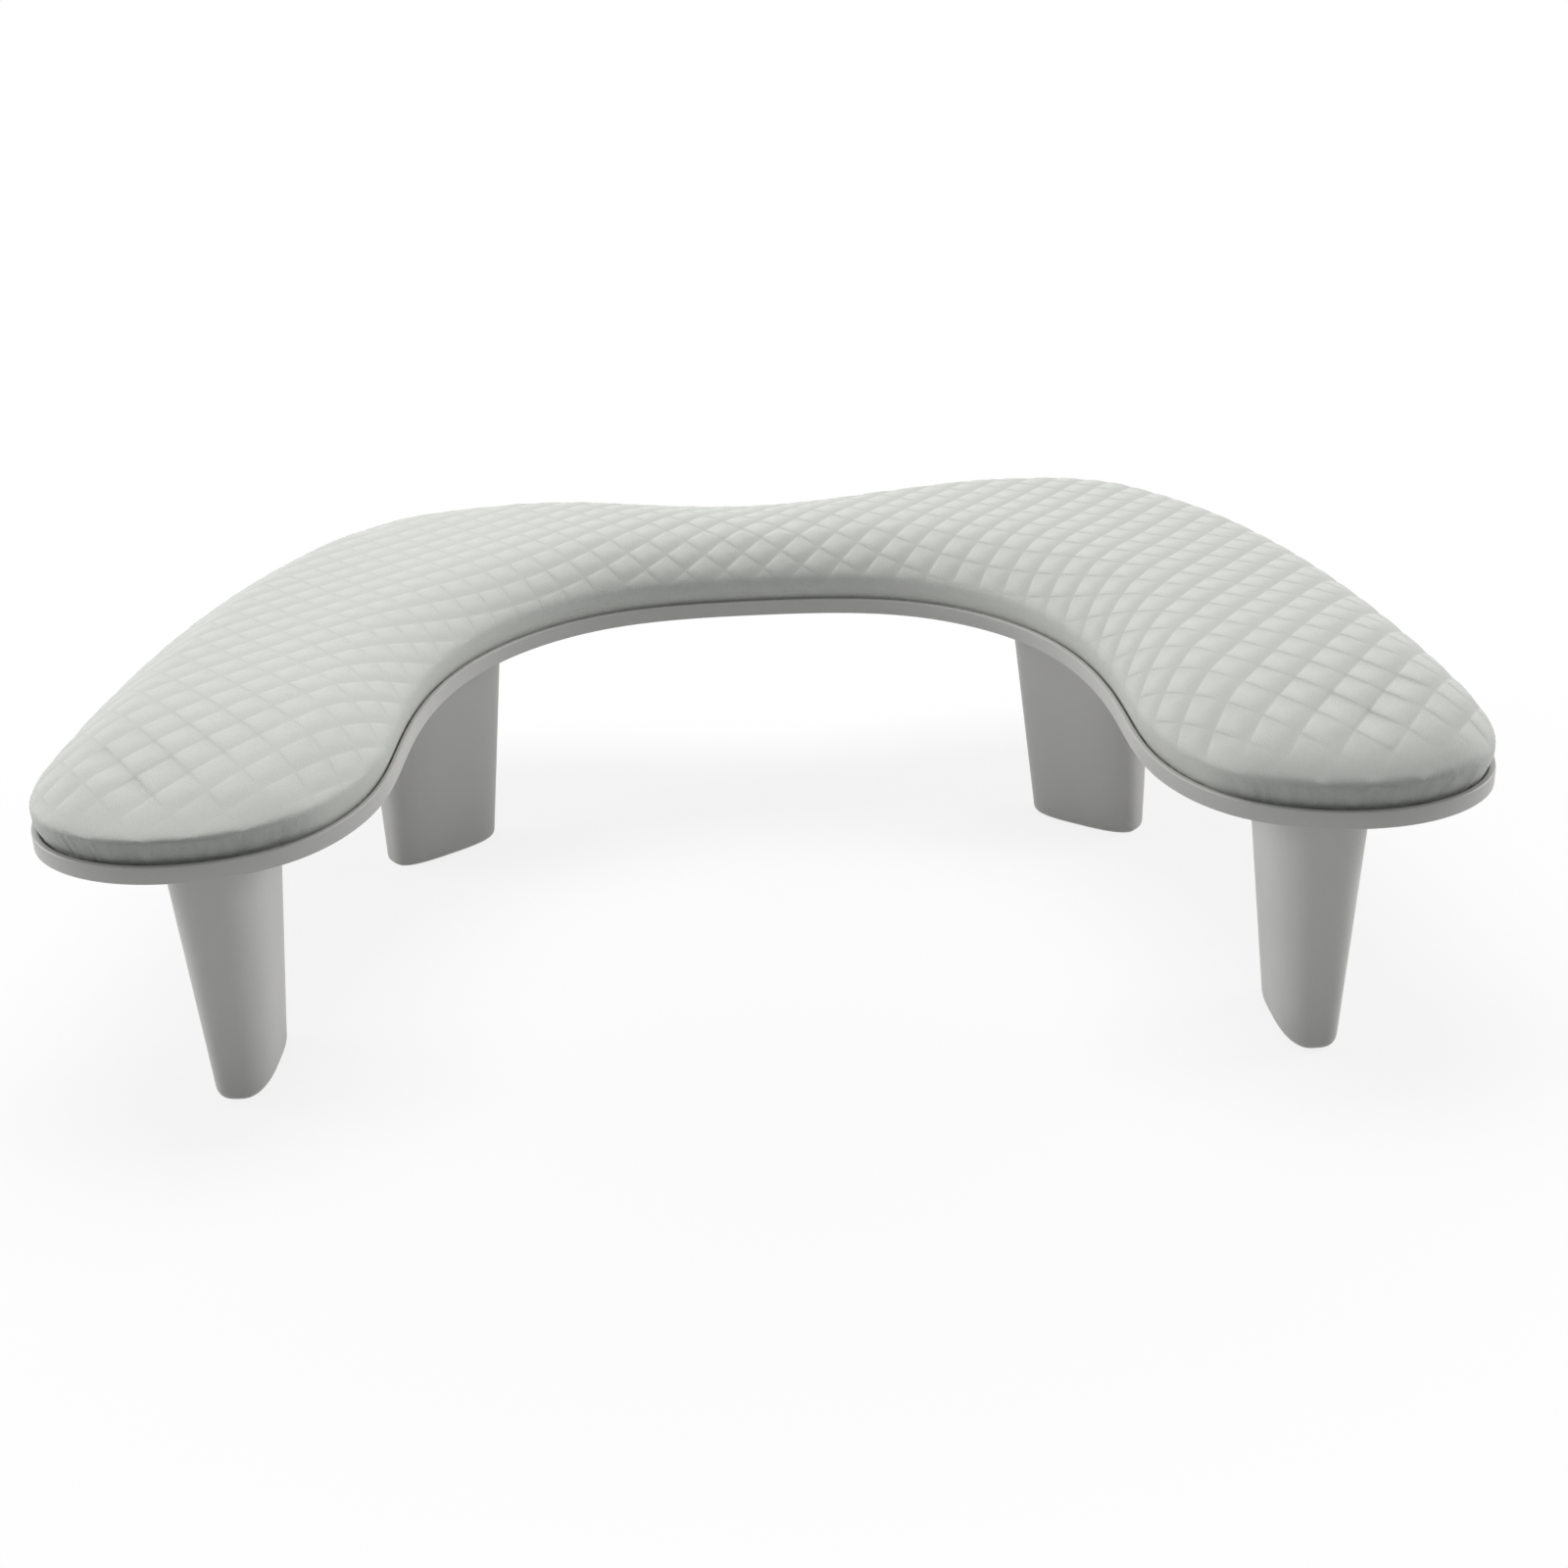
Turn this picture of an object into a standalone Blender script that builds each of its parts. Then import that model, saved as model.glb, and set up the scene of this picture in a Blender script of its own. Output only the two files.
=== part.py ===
# Manicure hand rest: an embossed cushion in a moulded tray that stands on four tapered legs
import bpy
import bmesh
import numpy as np
from math import cos, pi, radians, sin
from mathutils.geometry import delaunay_2d_cdt

# Gap between pieces that touch
CLEARANCE = 0.0003

# Outline of the tray seen from above: X runs along the rest, Y from the arm tips to the back
REST_LENGTH = 0.438
REST_DEPTH = 0.304
ARM_WIDTH = 0.1050
ARM_FLARE = 0.0060
BAY_DEPTH = 0.2115
BAY_CORNER_X = 0.0925
BAY_CORNER_DROP = 0.0410
BAY_EASE_X = 0.0555
BAY_EASE_DROP = 0.0085
WAIST_DIP = 0.0170
SHOULDER_FROM_SIDE = 0.1225
ELBOW_FROM_SIDE = 0.0690
ELBOW_DROP = 0.0150
HIP_FROM_SIDE = 0.0375
HIP_DROP = 0.0575
FLANK_FROM_SIDE = 0.0180
FLANK_DROP = 0.1130
WIDEST_FROM_FRONT = 0.0700
TIP_FROM_SIDE = 0.0560
TIP_SIDE_FROM_FRONT = 0.0200
TIP_CORNER_FROM_FRONT = 0.0026
TIP_INNER_FROM_SIDE = 0.0805
TIP_INNER_FROM_FRONT = 0.0100
ARM_ROOT_FROM_FRONT = 0.1340
ARM_MIDDLE_FROM_FRONT = 0.0880
ARM_END_FROM_FRONT = 0.0380
OUTLINE_STEPS = 88
OUTLINE_FINE_STEPS = 60

# Heights of the tray
LEG_HEIGHT = 0.0780
SKIRT_HEIGHT = 0.0055
SKIRT_WALL = 0.0022
EDGE_ROUND = 0.0005
LIP_WIDTH = 0.0020
LIP_HEIGHT = 0.0017
DECK_THICKNESS = 0.0020
RIB_THICKNESS = 0.0016
RIB_RECESS = 0.0003
RIB_CENTRE_FROM_FRONT = 0.1115
RIB_TURNS = (-8, 28, 62, 90, 118, 152, 188)
RIB_REACH_STEPS = 900
COLLAR_WALL = 0.0016

# Cushion: cover, foam and board
SHEET = 0.0008
COVER_INSET = 0.0025
HEM_WIDTH = 0.0080
SIDE_BULGE = 0.0021
SIDE_HEIGHT = 0.0080
SIDE_LOW_SHARES = (0.72, 0.30)
SIDE_HIGH_SHARE = 0.64
SMALLEST_ROUND = 0.0001
CROWN_RISE = 0.0159
CROWN_REACH = 0.0227
CROWN_POWER = 1.5
CREST_FROM_FRONT = 0.0916
TIP_DROP_SHARE = 0.60
BACK_DROP_SHARE = 0.10
FLANK_START = 0.0600
FLANK_SAG = 0.0010
CROWN_RING_STEPS = (0.0, 0.0008, 0.0026)
FOAM_FOOT_INSET = 0.0005
BOARD_THICKNESS = 0.0040
SMOOTH_SPACING = 0.0180
SMOOTH_MARGIN = 0.0110
SHOULDER_STEP = 0.0060

# Embossed diamond lattice of the cover
CELL_WIDTH = 0.0156
CELL_LENGTH = 0.0182
GROOVE_DEPTH = 0.0005
FACET_RISE = 0.0005
FACET_SHIFT = 0.0040
LATTICE_MARGIN = 0.0072
GROOVE_TRAIL_STEPS = 50

# Legs: tapered ovals, long axis along the arm
FOOT_LENGTH = 0.0428
FOOT_WIDTH = 0.0174
TOP_LENGTH = 0.0520
TOP_WIDTH = 0.0314
LEG_LEAN = 0.0040
OVAL_POWER = 2.9
LEG_WALL = 0.0024
LEG_FLOOR = 0.0045
FOOT_ROUND = 0.0030
FOOT_ROUND_SHARES = ((0.12, 0.50), (0.45, 0.14))
BOSS_RADIUS = 0.0036
OVAL_STEPS = 20
FRONT_LEG_FROM_SIDE = 0.0563
FRONT_LEG_FROM_FRONT = 0.0298
FRONT_LEG_TURN = -88.0
REAR_LEG_FROM_BAY_SIDE = 0.01795
REAR_LEG_FROM_BAY = 0.0251
REAR_LEG_TURN = -38.0

# Anti-slip pad let into each foot
PAD_INSET = 0.0036
PAD_THICKNESS = 0.0015
PAD_PROUD = 0.0005
PAD_EDGE = 0.0003

# Screws
LEG_SHANK_RADIUS = 0.0015
LEG_HEAD_RADIUS = 0.0034
LEG_HEAD_HEIGHT = 0.0008
LEG_SCREW_LENGTH = 0.0120
BOARD_SHANK_RADIUS = 0.0014
BOARD_HEAD_RADIUS = 0.0030
BOARD_HEAD_HEIGHT = 0.0010
BOARD_PAD_RADIUS = 0.0045
BOARD_BOSS_DEPTH = 0.0006
HEAD_TOP_SHARE = 0.7
HEAD_EDGE_SHARE = 0.55
SCREW_TIP_SHARE = 1.6
SCREW_BITE = 0.0032
SCREW_STEPS = 10
SCREW_MERGE = 0.00002
BACK_SCREW_X = 0.0450
SIDE_SCREW_FROM_SIDE = 0.0530
SIDE_SCREW_FROM_BACK = 0.0920
SIDE_SCREW_FROM_FRONT = 0.0900

# Heights that follow from the sizes above
SKIRT_BOTTOM = LEG_HEIGHT
LIP_TOP = SKIRT_BOTTOM + SKIRT_HEIGHT
DECK_TOP = LIP_TOP - LIP_HEIGHT
DECK_UNDER = DECK_TOP - DECK_THICKNESS
COVER_BOTTOM = DECK_TOP + CLEARANCE
BOARD_BOTTOM = COVER_BOTTOM + SHEET + CLEARANCE
BOARD_TOP = BOARD_BOTTOM + BOARD_THICKNESS
CROWN_BASE = LIP_TOP + SIDE_HEIGHT
CROWN_INSET = COVER_INSET - SIDE_BULGE
BOARD_INSET = COVER_INSET + SHEET + CLEARANCE

# Places that follow from the outline, measured from the footprint's centre
FRONT_Y = -REST_DEPTH / 2
BAY_SIDE = (REST_LENGTH / 2 - ARM_WIDTH + BAY_CORNER_X) / 2
BACK_MIDDLE = (REST_DEPTH - WAIST_DIP + BAY_DEPTH) / 2
FRONT_LEG = (REST_LENGTH / 2 - FRONT_LEG_FROM_SIDE, FRONT_Y + FRONT_LEG_FROM_FRONT, FRONT_LEG_TURN)
REAR_LEG = (BAY_SIDE + REAR_LEG_FROM_BAY_SIDE, FRONT_Y + BAY_DEPTH - REAR_LEG_FROM_BAY, REAR_LEG_TURN)
BOARD_SCREWS = (
    (BACK_SCREW_X, FRONT_Y + BACK_MIDDLE),
    (REST_LENGTH / 2 - SIDE_SCREW_FROM_SIDE, FRONT_Y + REST_DEPTH - SIDE_SCREW_FROM_BACK),
    (REST_LENGTH / 2 - SIDE_SCREW_FROM_SIDE, FRONT_Y + SIDE_SCREW_FROM_FRONT),
)
OVERSHOOT = 0.01

# Colour, roughness and metal share of each material, as the photo shows them
COVER_LOOK = ((0.70, 0.71, 0.68), 0.55, 0.0)
SHELL_LOOK = ((0.60, 0.60, 0.58), 0.42, 0.0)
FOAM_LOOK = ((0.78, 0.74, 0.60), 0.95, 0.0)
BOARD_LOOK = ((0.52, 0.40, 0.27), 0.75, 0.0)
STEEL_LOOK = ((0.62, 0.62, 0.63), 0.35, 1.0)
RUBBER_LOOK = ((0.10, 0.10, 0.10), 0.85, 0.0)

# Angle above which an edge is shaded sharp
SHARP_ANGLE = 30
SOFT_SHARP_ANGLE = 60


def clear_scene():
    for old in list(bpy.data.objects):
        bpy.data.objects.remove(old)


def new_collection(name):
    made = bpy.data.collections.new(name)
    bpy.context.scene.collection.children.link(made)
    return made


def new_material(name, colour, roughness, metallic):
    made = bpy.data.materials.new(name)
    made.use_nodes = True
    shader = made.node_tree.nodes["Principled BSDF"]
    shader.inputs["Base Color"].default_value = (*colour, 1.0)
    shader.inputs["Roughness"].default_value = roughness
    shader.inputs["Metallic"].default_value = metallic
    return made


# Outline


def outline_points():
    """The right half of the outline, from the back's middle round the arm to the bay's middle."""
    half = REST_LENGTH / 2
    arm_inner = half - ARM_WIDTH
    return [
        (0.0, REST_DEPTH - WAIST_DIP),
        (half - SHOULDER_FROM_SIDE, REST_DEPTH),
        (half - ELBOW_FROM_SIDE, REST_DEPTH - ELBOW_DROP),
        (half - HIP_FROM_SIDE, REST_DEPTH - HIP_DROP),
        (half - FLANK_FROM_SIDE, REST_DEPTH - FLANK_DROP),
        (half, WIDEST_FROM_FRONT),
        (half - ARM_FLARE, TIP_SIDE_FROM_FRONT),
        (half - TIP_FROM_SIDE / 2, TIP_CORNER_FROM_FRONT),
        (half - TIP_FROM_SIDE, 0.0),
        (half - TIP_INNER_FROM_SIDE, TIP_INNER_FROM_FRONT),
        (arm_inner + ARM_FLARE, ARM_END_FROM_FRONT),
        (arm_inner, ARM_MIDDLE_FROM_FRONT),
        (arm_inner - ARM_FLARE, ARM_ROOT_FROM_FRONT),
        (BAY_CORNER_X, BAY_DEPTH - BAY_CORNER_DROP),
        (BAY_EASE_X, BAY_DEPTH - BAY_EASE_DROP),
        (0.0, BAY_DEPTH),
    ]


def periodic_spline(points, fine_steps):
    """A closed cubic spline through the points, read at many places."""
    knots = np.array(points, float)
    count = len(knots)
    span = np.linalg.norm(np.roll(knots, -1, axis=0) - knots, axis=1)
    before = np.roll(span, 1)
    matrix = np.zeros((count, count))
    right = np.zeros((count, 2))
    slope = (np.roll(knots, -1, axis=0) - knots) / span[:, None]
    for i in range(count):
        matrix[i, i - 1] = span[i]
        matrix[i, i] = 2 * (span[i] + before[i])
        matrix[i, (i + 1) % count] = before[i]
        right[i] = 3 * (span[i] * slope[i - 1] + before[i] * slope[i])
    tangent = np.linalg.solve(matrix, right)
    found = []
    for i in range(count):
        after = (i + 1) % count
        t = np.linspace(0, 1, fine_steps, endpoint=False)[:, None]
        found.append(
            (2 * t**3 - 3 * t**2 + 1) * knots[i]
            + (t**3 - 2 * t**2 + t) * span[i] * tangent[i]
            + (3 * t**2 - 2 * t**3) * knots[after]
            + (t**3 - t**2) * span[i] * tangent[after]
        )
    return np.concatenate(found)


def make_outline():
    """The outline counter-clockwise from the back's middle, with its inward normals."""
    right = outline_points()
    left = [(-x, y) for x, y in right[1:-1]][::-1]
    fine = periodic_spline(right + left, OUTLINE_FINE_STEPS)
    fine = np.roll(fine[::-1], 1, axis=0)
    fine[:, 1] -= 0.5 * (fine[:, 1].min() + fine[:, 1].max())
    closed = np.vstack([fine, fine[:1]])
    length = np.concatenate([[0], np.cumsum(np.linalg.norm(np.diff(closed, axis=0), axis=1))])
    wanted = np.linspace(0, length[-1], OUTLINE_STEPS, endpoint=False)
    points = np.column_stack([np.interp(wanted, length, closed[:, k]) for k in (0, 1)])
    ahead = np.roll(points, -1, axis=0) - np.roll(points, 1, axis=0)
    ahead /= np.linalg.norm(ahead, axis=1)[:, None]
    return points, np.column_stack([-ahead[:, 1], ahead[:, 0]])


OUTLINE, INWARD = make_outline()


def ring(inset, height):
    """The outline moved inwards, as points at one height or at a height each."""
    heights = np.broadcast_to(height, len(OUTLINE))
    return [(x, y, z) for (x, y), z in zip(OUTLINE + INWARD * inset, heights)]


def edge_distance(points):
    """How far each point lies from the outline."""
    start = OUTLINE
    step = np.roll(OUTLINE, -1, axis=0) - OUTLINE
    away = np.asarray(points)[:, None, :] - start[None]
    share = np.clip((away * step).sum(2) / (step**2).sum(1), 0, 1)
    return np.linalg.norm(away - share[..., None] * step, axis=2).min(1)


def inside(points):
    """Whether each point lies within the outline."""
    x, y = np.asarray(points).T
    ends = np.roll(OUTLINE, -1, axis=0)
    found = np.zeros(len(x), bool)
    for (x1, y1), (x2, y2) in zip(OUTLINE, ends):
        crosses = (y1 > y) != (y2 > y)
        if crosses.any():
            found ^= crosses & (x < (x2 - x1) * (y - y1) / (y2 - y1 + 1e-15) + x1)
    return found


def depth_inside(points):
    """Distance to the outline, negative outside it."""
    return np.where(inside(points), 1, -1) * edge_distance(points)


# Mesh helpers


def add_ring(mesh, points):
    return [mesh.verts.new(point) for point in points]


def join_rings(mesh, first, second):
    count = len(first)
    for i in range(count):
        after = (i + 1) % count
        mesh.faces.new((first[i], first[after], second[after], second[i]))


def fill_flat(mesh, verts):
    """Closes a flat ring, which may be hollow in places, with triangles."""
    face = mesh.faces.new(verts)
    face.normal_update()
    bmesh.ops.triangulate(mesh, faces=[face])


def loft(rings):
    """A closed body through rings of equal count, with flat ends, listed from its lower end up the outside."""
    mesh = bmesh.new()
    made = [add_ring(mesh, points) for points in rings]
    for lower, upper in zip(made, made[1:]):
        join_rings(mesh, lower, upper)
    fill_flat(mesh, made[0][::-1])
    fill_flat(mesh, made[-1])
    return mesh


def add_object(mesh, name, collection, material=None, sharp=SHARP_ANGLE):
    """Turns a bmesh into an object shaded smooth up to an angle."""
    bmesh.ops.recalc_face_normals(mesh, faces=mesh.faces)
    data = bpy.data.meshes.new(name)
    mesh.to_mesh(data)
    mesh.free()
    if material:
        data.materials.append(material)
    data.shade_smooth()
    data.set_sharp_from_angle(angle=radians(sharp))
    made = bpy.data.objects.new(name, data)
    collection.objects.link(made)
    return made


def add_boolean(target, operation, cutter):
    cutter.hide_render = True
    cutter.display_type = "WIRE"
    modifier = target.modifiers.new(operation.lower() + "_" + cutter.name, "BOOLEAN")
    modifier.operation = operation
    modifier.object = cutter


def merged(parts):
    """Several separate bodies in one bmesh."""
    whole = bmesh.new()
    for part in parts:
        data = bpy.data.meshes.new("part")
        part.to_mesh(data)
        part.free()
        whole.from_mesh(data)
        bpy.data.meshes.remove(data)
    return whole


def cylinder(x, y, bottom, top, radius, steps=SCREW_STEPS):
    turns = [2 * pi * k / steps for k in range(steps)]
    return loft(
        [[(x + radius * cos(a), y + radius * sin(a), z) for a in turns] for z in (bottom, top)]
    )


def mirrored(places):
    """Places on the right half and their mirror images on the left."""
    return [(side * x, y) for x, y in places for side in (1, -1)]


# Cushion


def crown(points, depth, inset, drop):
    """Height of the cushion's crown, less a drop, over points at some depth inside the outline."""
    x, y = np.asarray(points).T
    share = np.clip((depth - inset) / (CROWN_REACH - inset), 0, 1)
    crest = CREST_FROM_FRONT - REST_DEPTH / 2
    to_tip = np.clip((crest - y) / CREST_FROM_FRONT, 0, 1)
    to_back = np.clip((y - crest) / (REST_DEPTH - CREST_FROM_FRONT), 0, 1)
    to_flank = np.clip((np.abs(x) - FLANK_START) / (REST_LENGTH / 2 - FLANK_START), 0, 1)
    fullness = (1 - TIP_DROP_SHARE * to_tip**2) * (1 - BACK_DROP_SHARE * to_back)
    rise = CROWN_RISE * fullness - FLANK_SAG * to_flank - drop
    return CROWN_BASE + rise * (1 - (1 - share) ** CROWN_POWER) ** (1 / CROWN_POWER)


def loop_edges(count, start):
    return [(start + i, start + (i + 1) % count) for i in range(count)]


def fill_crown(mesh, border, points, edges, inset, drop, relief):
    """Closes a border ring with a crowned surface through the given points, lifted by the relief."""
    count = len(border)
    flat = [tuple(vert.co[:2]) for vert in border] + [tuple(point) for point in points]
    shoulder = [tuple(spot) for spot in OUTLINE + INWARD * (inset + SHOULDER_STEP)]
    flat += shoulder
    relief = relief + [0.0] * count
    loops = loop_edges(count, 0) + loop_edges(count, count + len(points))
    moved = [(a + count, b + count) for a, b in edges]
    spots, _, faces, origin, _, _ = delaunay_2d_cdt(flat, loops + moved, [], 1, 1e-7)
    spots = np.array([tuple(spot) for spot in spots])
    heights = crown(spots, edge_distance(spots), inset, drop)
    verts = []
    for spot, height, sources in zip(spots, heights, origin):
        on_border = [k for k in sources if k < count]
        if on_border:
            verts.append(border[on_border[0]])
            continue
        lift = relief[sources[0] - count] if sources else -GROOVE_DEPTH
        verts.append(mesh.verts.new((*spot, height + lift)))
    for face in faces:
        mesh.faces.new([verts[k] for k in face])


def lattice():
    """Corners, raised points and grooves of the diamond lattice, cut off short of the cushion's edge."""
    across = int(REST_LENGTH / CELL_WIDTH) + 2
    along = int(REST_DEPTH / CELL_LENGTH) + 2
    grid = [(i, j) for i in range(-across, across + 1) for j in range(-along, along + 1)]
    place = {(i, j): (i * CELL_WIDTH / 2, j * CELL_LENGTH / 2) for i, j in grid}
    spots = np.array([place[key] for key in grid])
    depth = dict(zip(grid, depth_inside(spots)))
    points, relief, edges, number = [], [], [], {}
    for key in grid:
        is_corner = (key[0] + key[1]) % 2 == 0
        x, y = place[key]
        if is_corner and depth[key] > LATTICE_MARGIN:
            number[key] = len(points)
            points.append((x, y))
            relief.append(-GROOVE_DEPTH)
    shifted = [(place[key][0] - FACET_SHIFT, place[key][1]) for key in grid]
    for key, spot, room in zip(grid, shifted, depth_inside(shifted)):
        if (key[0] + key[1]) % 2 and room > LATTICE_MARGIN:
            points.append(spot)
            relief.append(FACET_RISE)
    for key in list(number):
        for rise in (1, -1):
            for way in (1, -1):
                other = (key[0] + way, key[1] + rise)
                if other in number:
                    if way == 1:
                        edges.append((number[key], number[other]))
                elif other in place:
                    edges.append((number[key], len(points)))
                    points.append(groove_end(place[key], place[other]))
                    relief.append(0.0)
    return points, relief, edges


def groove_end(start, end):
    """Where a groove that leaves the lattice comes to the lattice's margin."""
    shares = np.linspace(1 / GROOVE_TRAIL_STEPS, 1, GROOVE_TRAIL_STEPS)[:, None]
    trail = np.array(start) * (1 - shares) + np.array(end) * shares
    kept = np.flatnonzero(depth_inside(trail) > LATTICE_MARGIN)
    return tuple(trail[kept[-1] if len(kept) else 0])


def plain_points():
    """Evenly spread points for a smooth crown, without relief or grooves."""
    step = SMOOTH_SPACING
    columns = int(REST_LENGTH / step) + 1
    rows = int(REST_DEPTH / step) + 1
    spread = [
        (step * (i + 0.5 * (j % 2)), step * j * sin(pi / 3))
        for i in range(-columns, columns + 1)
        for j in range(-rows, rows + 1)
    ]
    kept = [spot for spot, depth in zip(spread, depth_inside(spread)) if depth > SMOOTH_MARGIN]
    return kept, [0.0] * len(kept), []


def crown_rings(inset, drop):
    """The rings on the crown's steep outer part."""
    rings = []
    for step in CROWN_RING_STEPS:
        depth = inset + step
        rings.append(ring(depth, crown(OUTLINE + INWARD * depth, depth, inset, drop)))
    return rings


def side_rings(thickness):
    """The cover's side from its tucked hem to the crown, moved inwards by a thickness."""
    round_off = SHEET - thickness
    bulge_share, rise_share = SIDE_LOW_SHARES
    return [
        (COVER_INSET + HEM_WIDTH, COVER_BOTTOM + thickness),
        (COVER_INSET + thickness + max(round_off, 0), COVER_BOTTOM + thickness),
        (COVER_INSET + thickness, COVER_BOTTOM + thickness + max(round_off, SMALLEST_ROUND)),
        (COVER_INSET + thickness, LIP_TOP),
        (COVER_INSET + thickness - bulge_share * SIDE_BULGE, LIP_TOP + rise_share * SIDE_HEIGHT),
        (CROWN_INSET + thickness, LIP_TOP + SIDE_HIGH_SHARE * SIDE_HEIGHT),
    ]


def make_cover():
    """The embossed sheet: its outside, its inside and the hem that is tucked under the board."""
    mesh = bmesh.new()
    hems = []
    for thickness, drop in ((0.0, 0.0), (SHEET, SHEET + GROOVE_DEPTH)):
        inset = CROWN_INSET + thickness
        side = [ring(*place) for place in side_rings(thickness)]
        made = [add_ring(mesh, points) for points in side + crown_rings(inset, drop)]
        for lower, upper in zip(made, made[1:]):
            join_rings(mesh, lower, upper)
        if thickness == 0.0:
            points, relief, edges = lattice()
        else:
            points, relief, edges = plain_points()
        fill_crown(mesh, made[-1], points, edges, inset, drop, relief)
        hems.append(made[0])
    join_rings(mesh, hems[0], hems[1])
    return mesh


def make_foam():
    """The crowned core, a clearance inside the cover and above the board."""
    mesh = bmesh.new()
    inset = CROWN_INSET + SHEET + CLEARANCE
    drop = SHEET + GROOVE_DEPTH + CLEARANCE
    lower = ring(inset + FOAM_FOOT_INSET, BOARD_TOP + CLEARANCE)
    made = [add_ring(mesh, points) for points in [lower] + crown_rings(inset, drop)]
    for below, above in zip(made, made[1:]):
        join_rings(mesh, below, above)
    fill_flat(mesh, made[0][::-1])
    points, relief, edges = plain_points()
    fill_crown(mesh, made[-1], points, edges, inset, drop, relief)
    return mesh


# Tray


def cross_ribs():
    """Ribs across the underside, on rays from the bay's middle, between the two skirt walls."""
    centre = np.array((0.0, RIB_CENTRE_FROM_FRONT - REST_DEPTH / 2))
    ribs = []
    for turn in RIB_TURNS:
        way = np.array((cos(radians(turn)), sin(radians(turn))))
        reach = np.linspace(0, REST_LENGTH, RIB_REACH_STEPS)
        depth = depth_inside(centre + reach[:, None] * way)
        held = reach[depth > EDGE_ROUND]
        if len(held):
            ribs.append(bar(centre + held[0] * way, centre + held[-1] * way))
    return merged(ribs)


def bar(start, end):
    """A rib between two points, from its lower edge up into the deck."""
    way = (end - start) / np.linalg.norm(end - start)
    side = np.array((-way[1], way[0])) * RIB_THICKNESS / 2
    corners = [start - side, end - side, end + side, start + side]
    heights = (SKIRT_BOTTOM + RIB_RECESS, DECK_UNDER + DECK_THICKNESS / 2)
    return loft([[(x, y, z) for x, y in corners] for z in heights])


def make_tray(collection, cutters, material):
    body = loft(
        [
            ring(SKIRT_WALL, DECK_UNDER),
            ring(SKIRT_WALL, SKIRT_BOTTOM),
            ring(EDGE_ROUND, SKIRT_BOTTOM),
            ring(0, SKIRT_BOTTOM + EDGE_ROUND),
            ring(0, LIP_TOP - EDGE_ROUND),
            ring(EDGE_ROUND, LIP_TOP),
            ring(LIP_WIDTH, LIP_TOP),
            ring(LIP_WIDTH, DECK_TOP),
        ]
    )
    tray = add_object(body, "tray", collection, material)
    inner = DECK_UNDER + DECK_THICKNESS / 2
    low = SKIRT_BOTTOM + RIB_RECESS
    collars = [leg_oval_prism(leg, COLLAR_WALL + CLEARANCE, low, inner) for leg in LEGS]
    below = low - OVERSHOOT
    above = LIP_TOP + OVERSHOOT
    sockets = [leg_oval_prism(leg, CLEARANCE, below, DECK_UNDER) for leg in LEGS]
    pads = [
        cylinder(x, y, inner, BOARD_BOTTOM - CLEARANCE, BOARD_PAD_RADIUS)
        for x, y in mirrored(BOARD_SCREWS)
    ]
    bosses = [
        cylinder(x, y, DECK_UNDER - BOARD_BOSS_DEPTH, inner, BOARD_PAD_RADIUS)
        for x, y in mirrored(BOARD_SCREWS)
    ]
    holes = [
        cylinder(x, y, below, above, BOARD_SHANK_RADIUS + CLEARANCE)
        for x, y in mirrored(BOARD_SCREWS)
    ]
    holes += [
        cylinder(*leg_top_centre(leg), below, above, LEG_SHANK_RADIUS + CLEARANCE)
        for leg in LEGS
    ]
    seats = [
        cylinder(x, y, below, DECK_UNDER, BOARD_HEAD_RADIUS + 2 * CLEARANCE)
        for x, y in mirrored(BOARD_SCREWS)
    ]
    steps = [
        ("UNION", "ribs", cross_ribs()),
        ("UNION", "collars", merged(collars)),
        ("UNION", "board_pads", merged(pads)),
        ("UNION", "screw_bosses", merged(bosses)),
        ("DIFFERENCE", "sockets", merged(sockets)),
        ("DIFFERENCE", "screw_seats", merged(seats)),
        ("DIFFERENCE", "screw_holes", merged(holes)),
    ]
    for operation, name, mesh in steps:
        add_boolean(tray, operation, add_object(mesh, name, cutters))
    return tray


def make_board(collection, cutters, material):
    body = loft([ring(BOARD_INSET, BOARD_BOTTOM), ring(BOARD_INSET, BOARD_TOP)])
    board = add_object(body, "board", collection, material)
    low, high = BOARD_BOTTOM - OVERSHOOT, BOARD_BOTTOM + SCREW_BITE + CLEARANCE
    pilots = [
        cylinder(x, y, low, high, BOARD_SHANK_RADIUS + CLEARANCE)
        for x, y in mirrored(BOARD_SCREWS)
    ]
    add_boolean(board, "DIFFERENCE", add_object(merged(pilots), "board_pilots", cutters))
    return board


# Legs


def make_legs_list():
    """Name, place and turn of each leg; the turn points the long axis outwards along the arm."""
    legs = []
    for name, (x, y, turn) in (("front", FRONT_LEG), ("rear", REAR_LEG)):
        legs.append((name + "_right", x, y, radians(turn)))
        legs.append((name + "_left", -x, y, pi - radians(turn)))
    return legs


LEGS = make_legs_list()


def oval(length, width, shift, height):
    """A rounded oval in the leg's own frame, its long axis along X."""
    points = []
    for k in range(OVAL_STEPS):
        a = 2 * pi * (k + 0.5) / OVAL_STEPS
        x = abs(cos(a)) ** (2 / OVAL_POWER) * length / 2
        y = abs(sin(a)) ** (2 / OVAL_POWER) * width / 2
        points.append((shift + (x if cos(a) > 0 else -x), y if sin(a) > 0 else -y, height))
    return points


def leg_oval(height, inset):
    """The leg's outer oval at a height above its foot, made smaller by an inset."""
    share = (height - PAD_PROUD) / (DECK_UNDER - CLEARANCE - PAD_PROUD)
    length = FOOT_LENGTH + (TOP_LENGTH - FOOT_LENGTH) * share - 2 * inset
    width = FOOT_WIDTH + (TOP_WIDTH - FOOT_WIDTH) * share - 2 * inset
    return oval(length, width, -LEG_LEAN * share, height)


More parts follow.
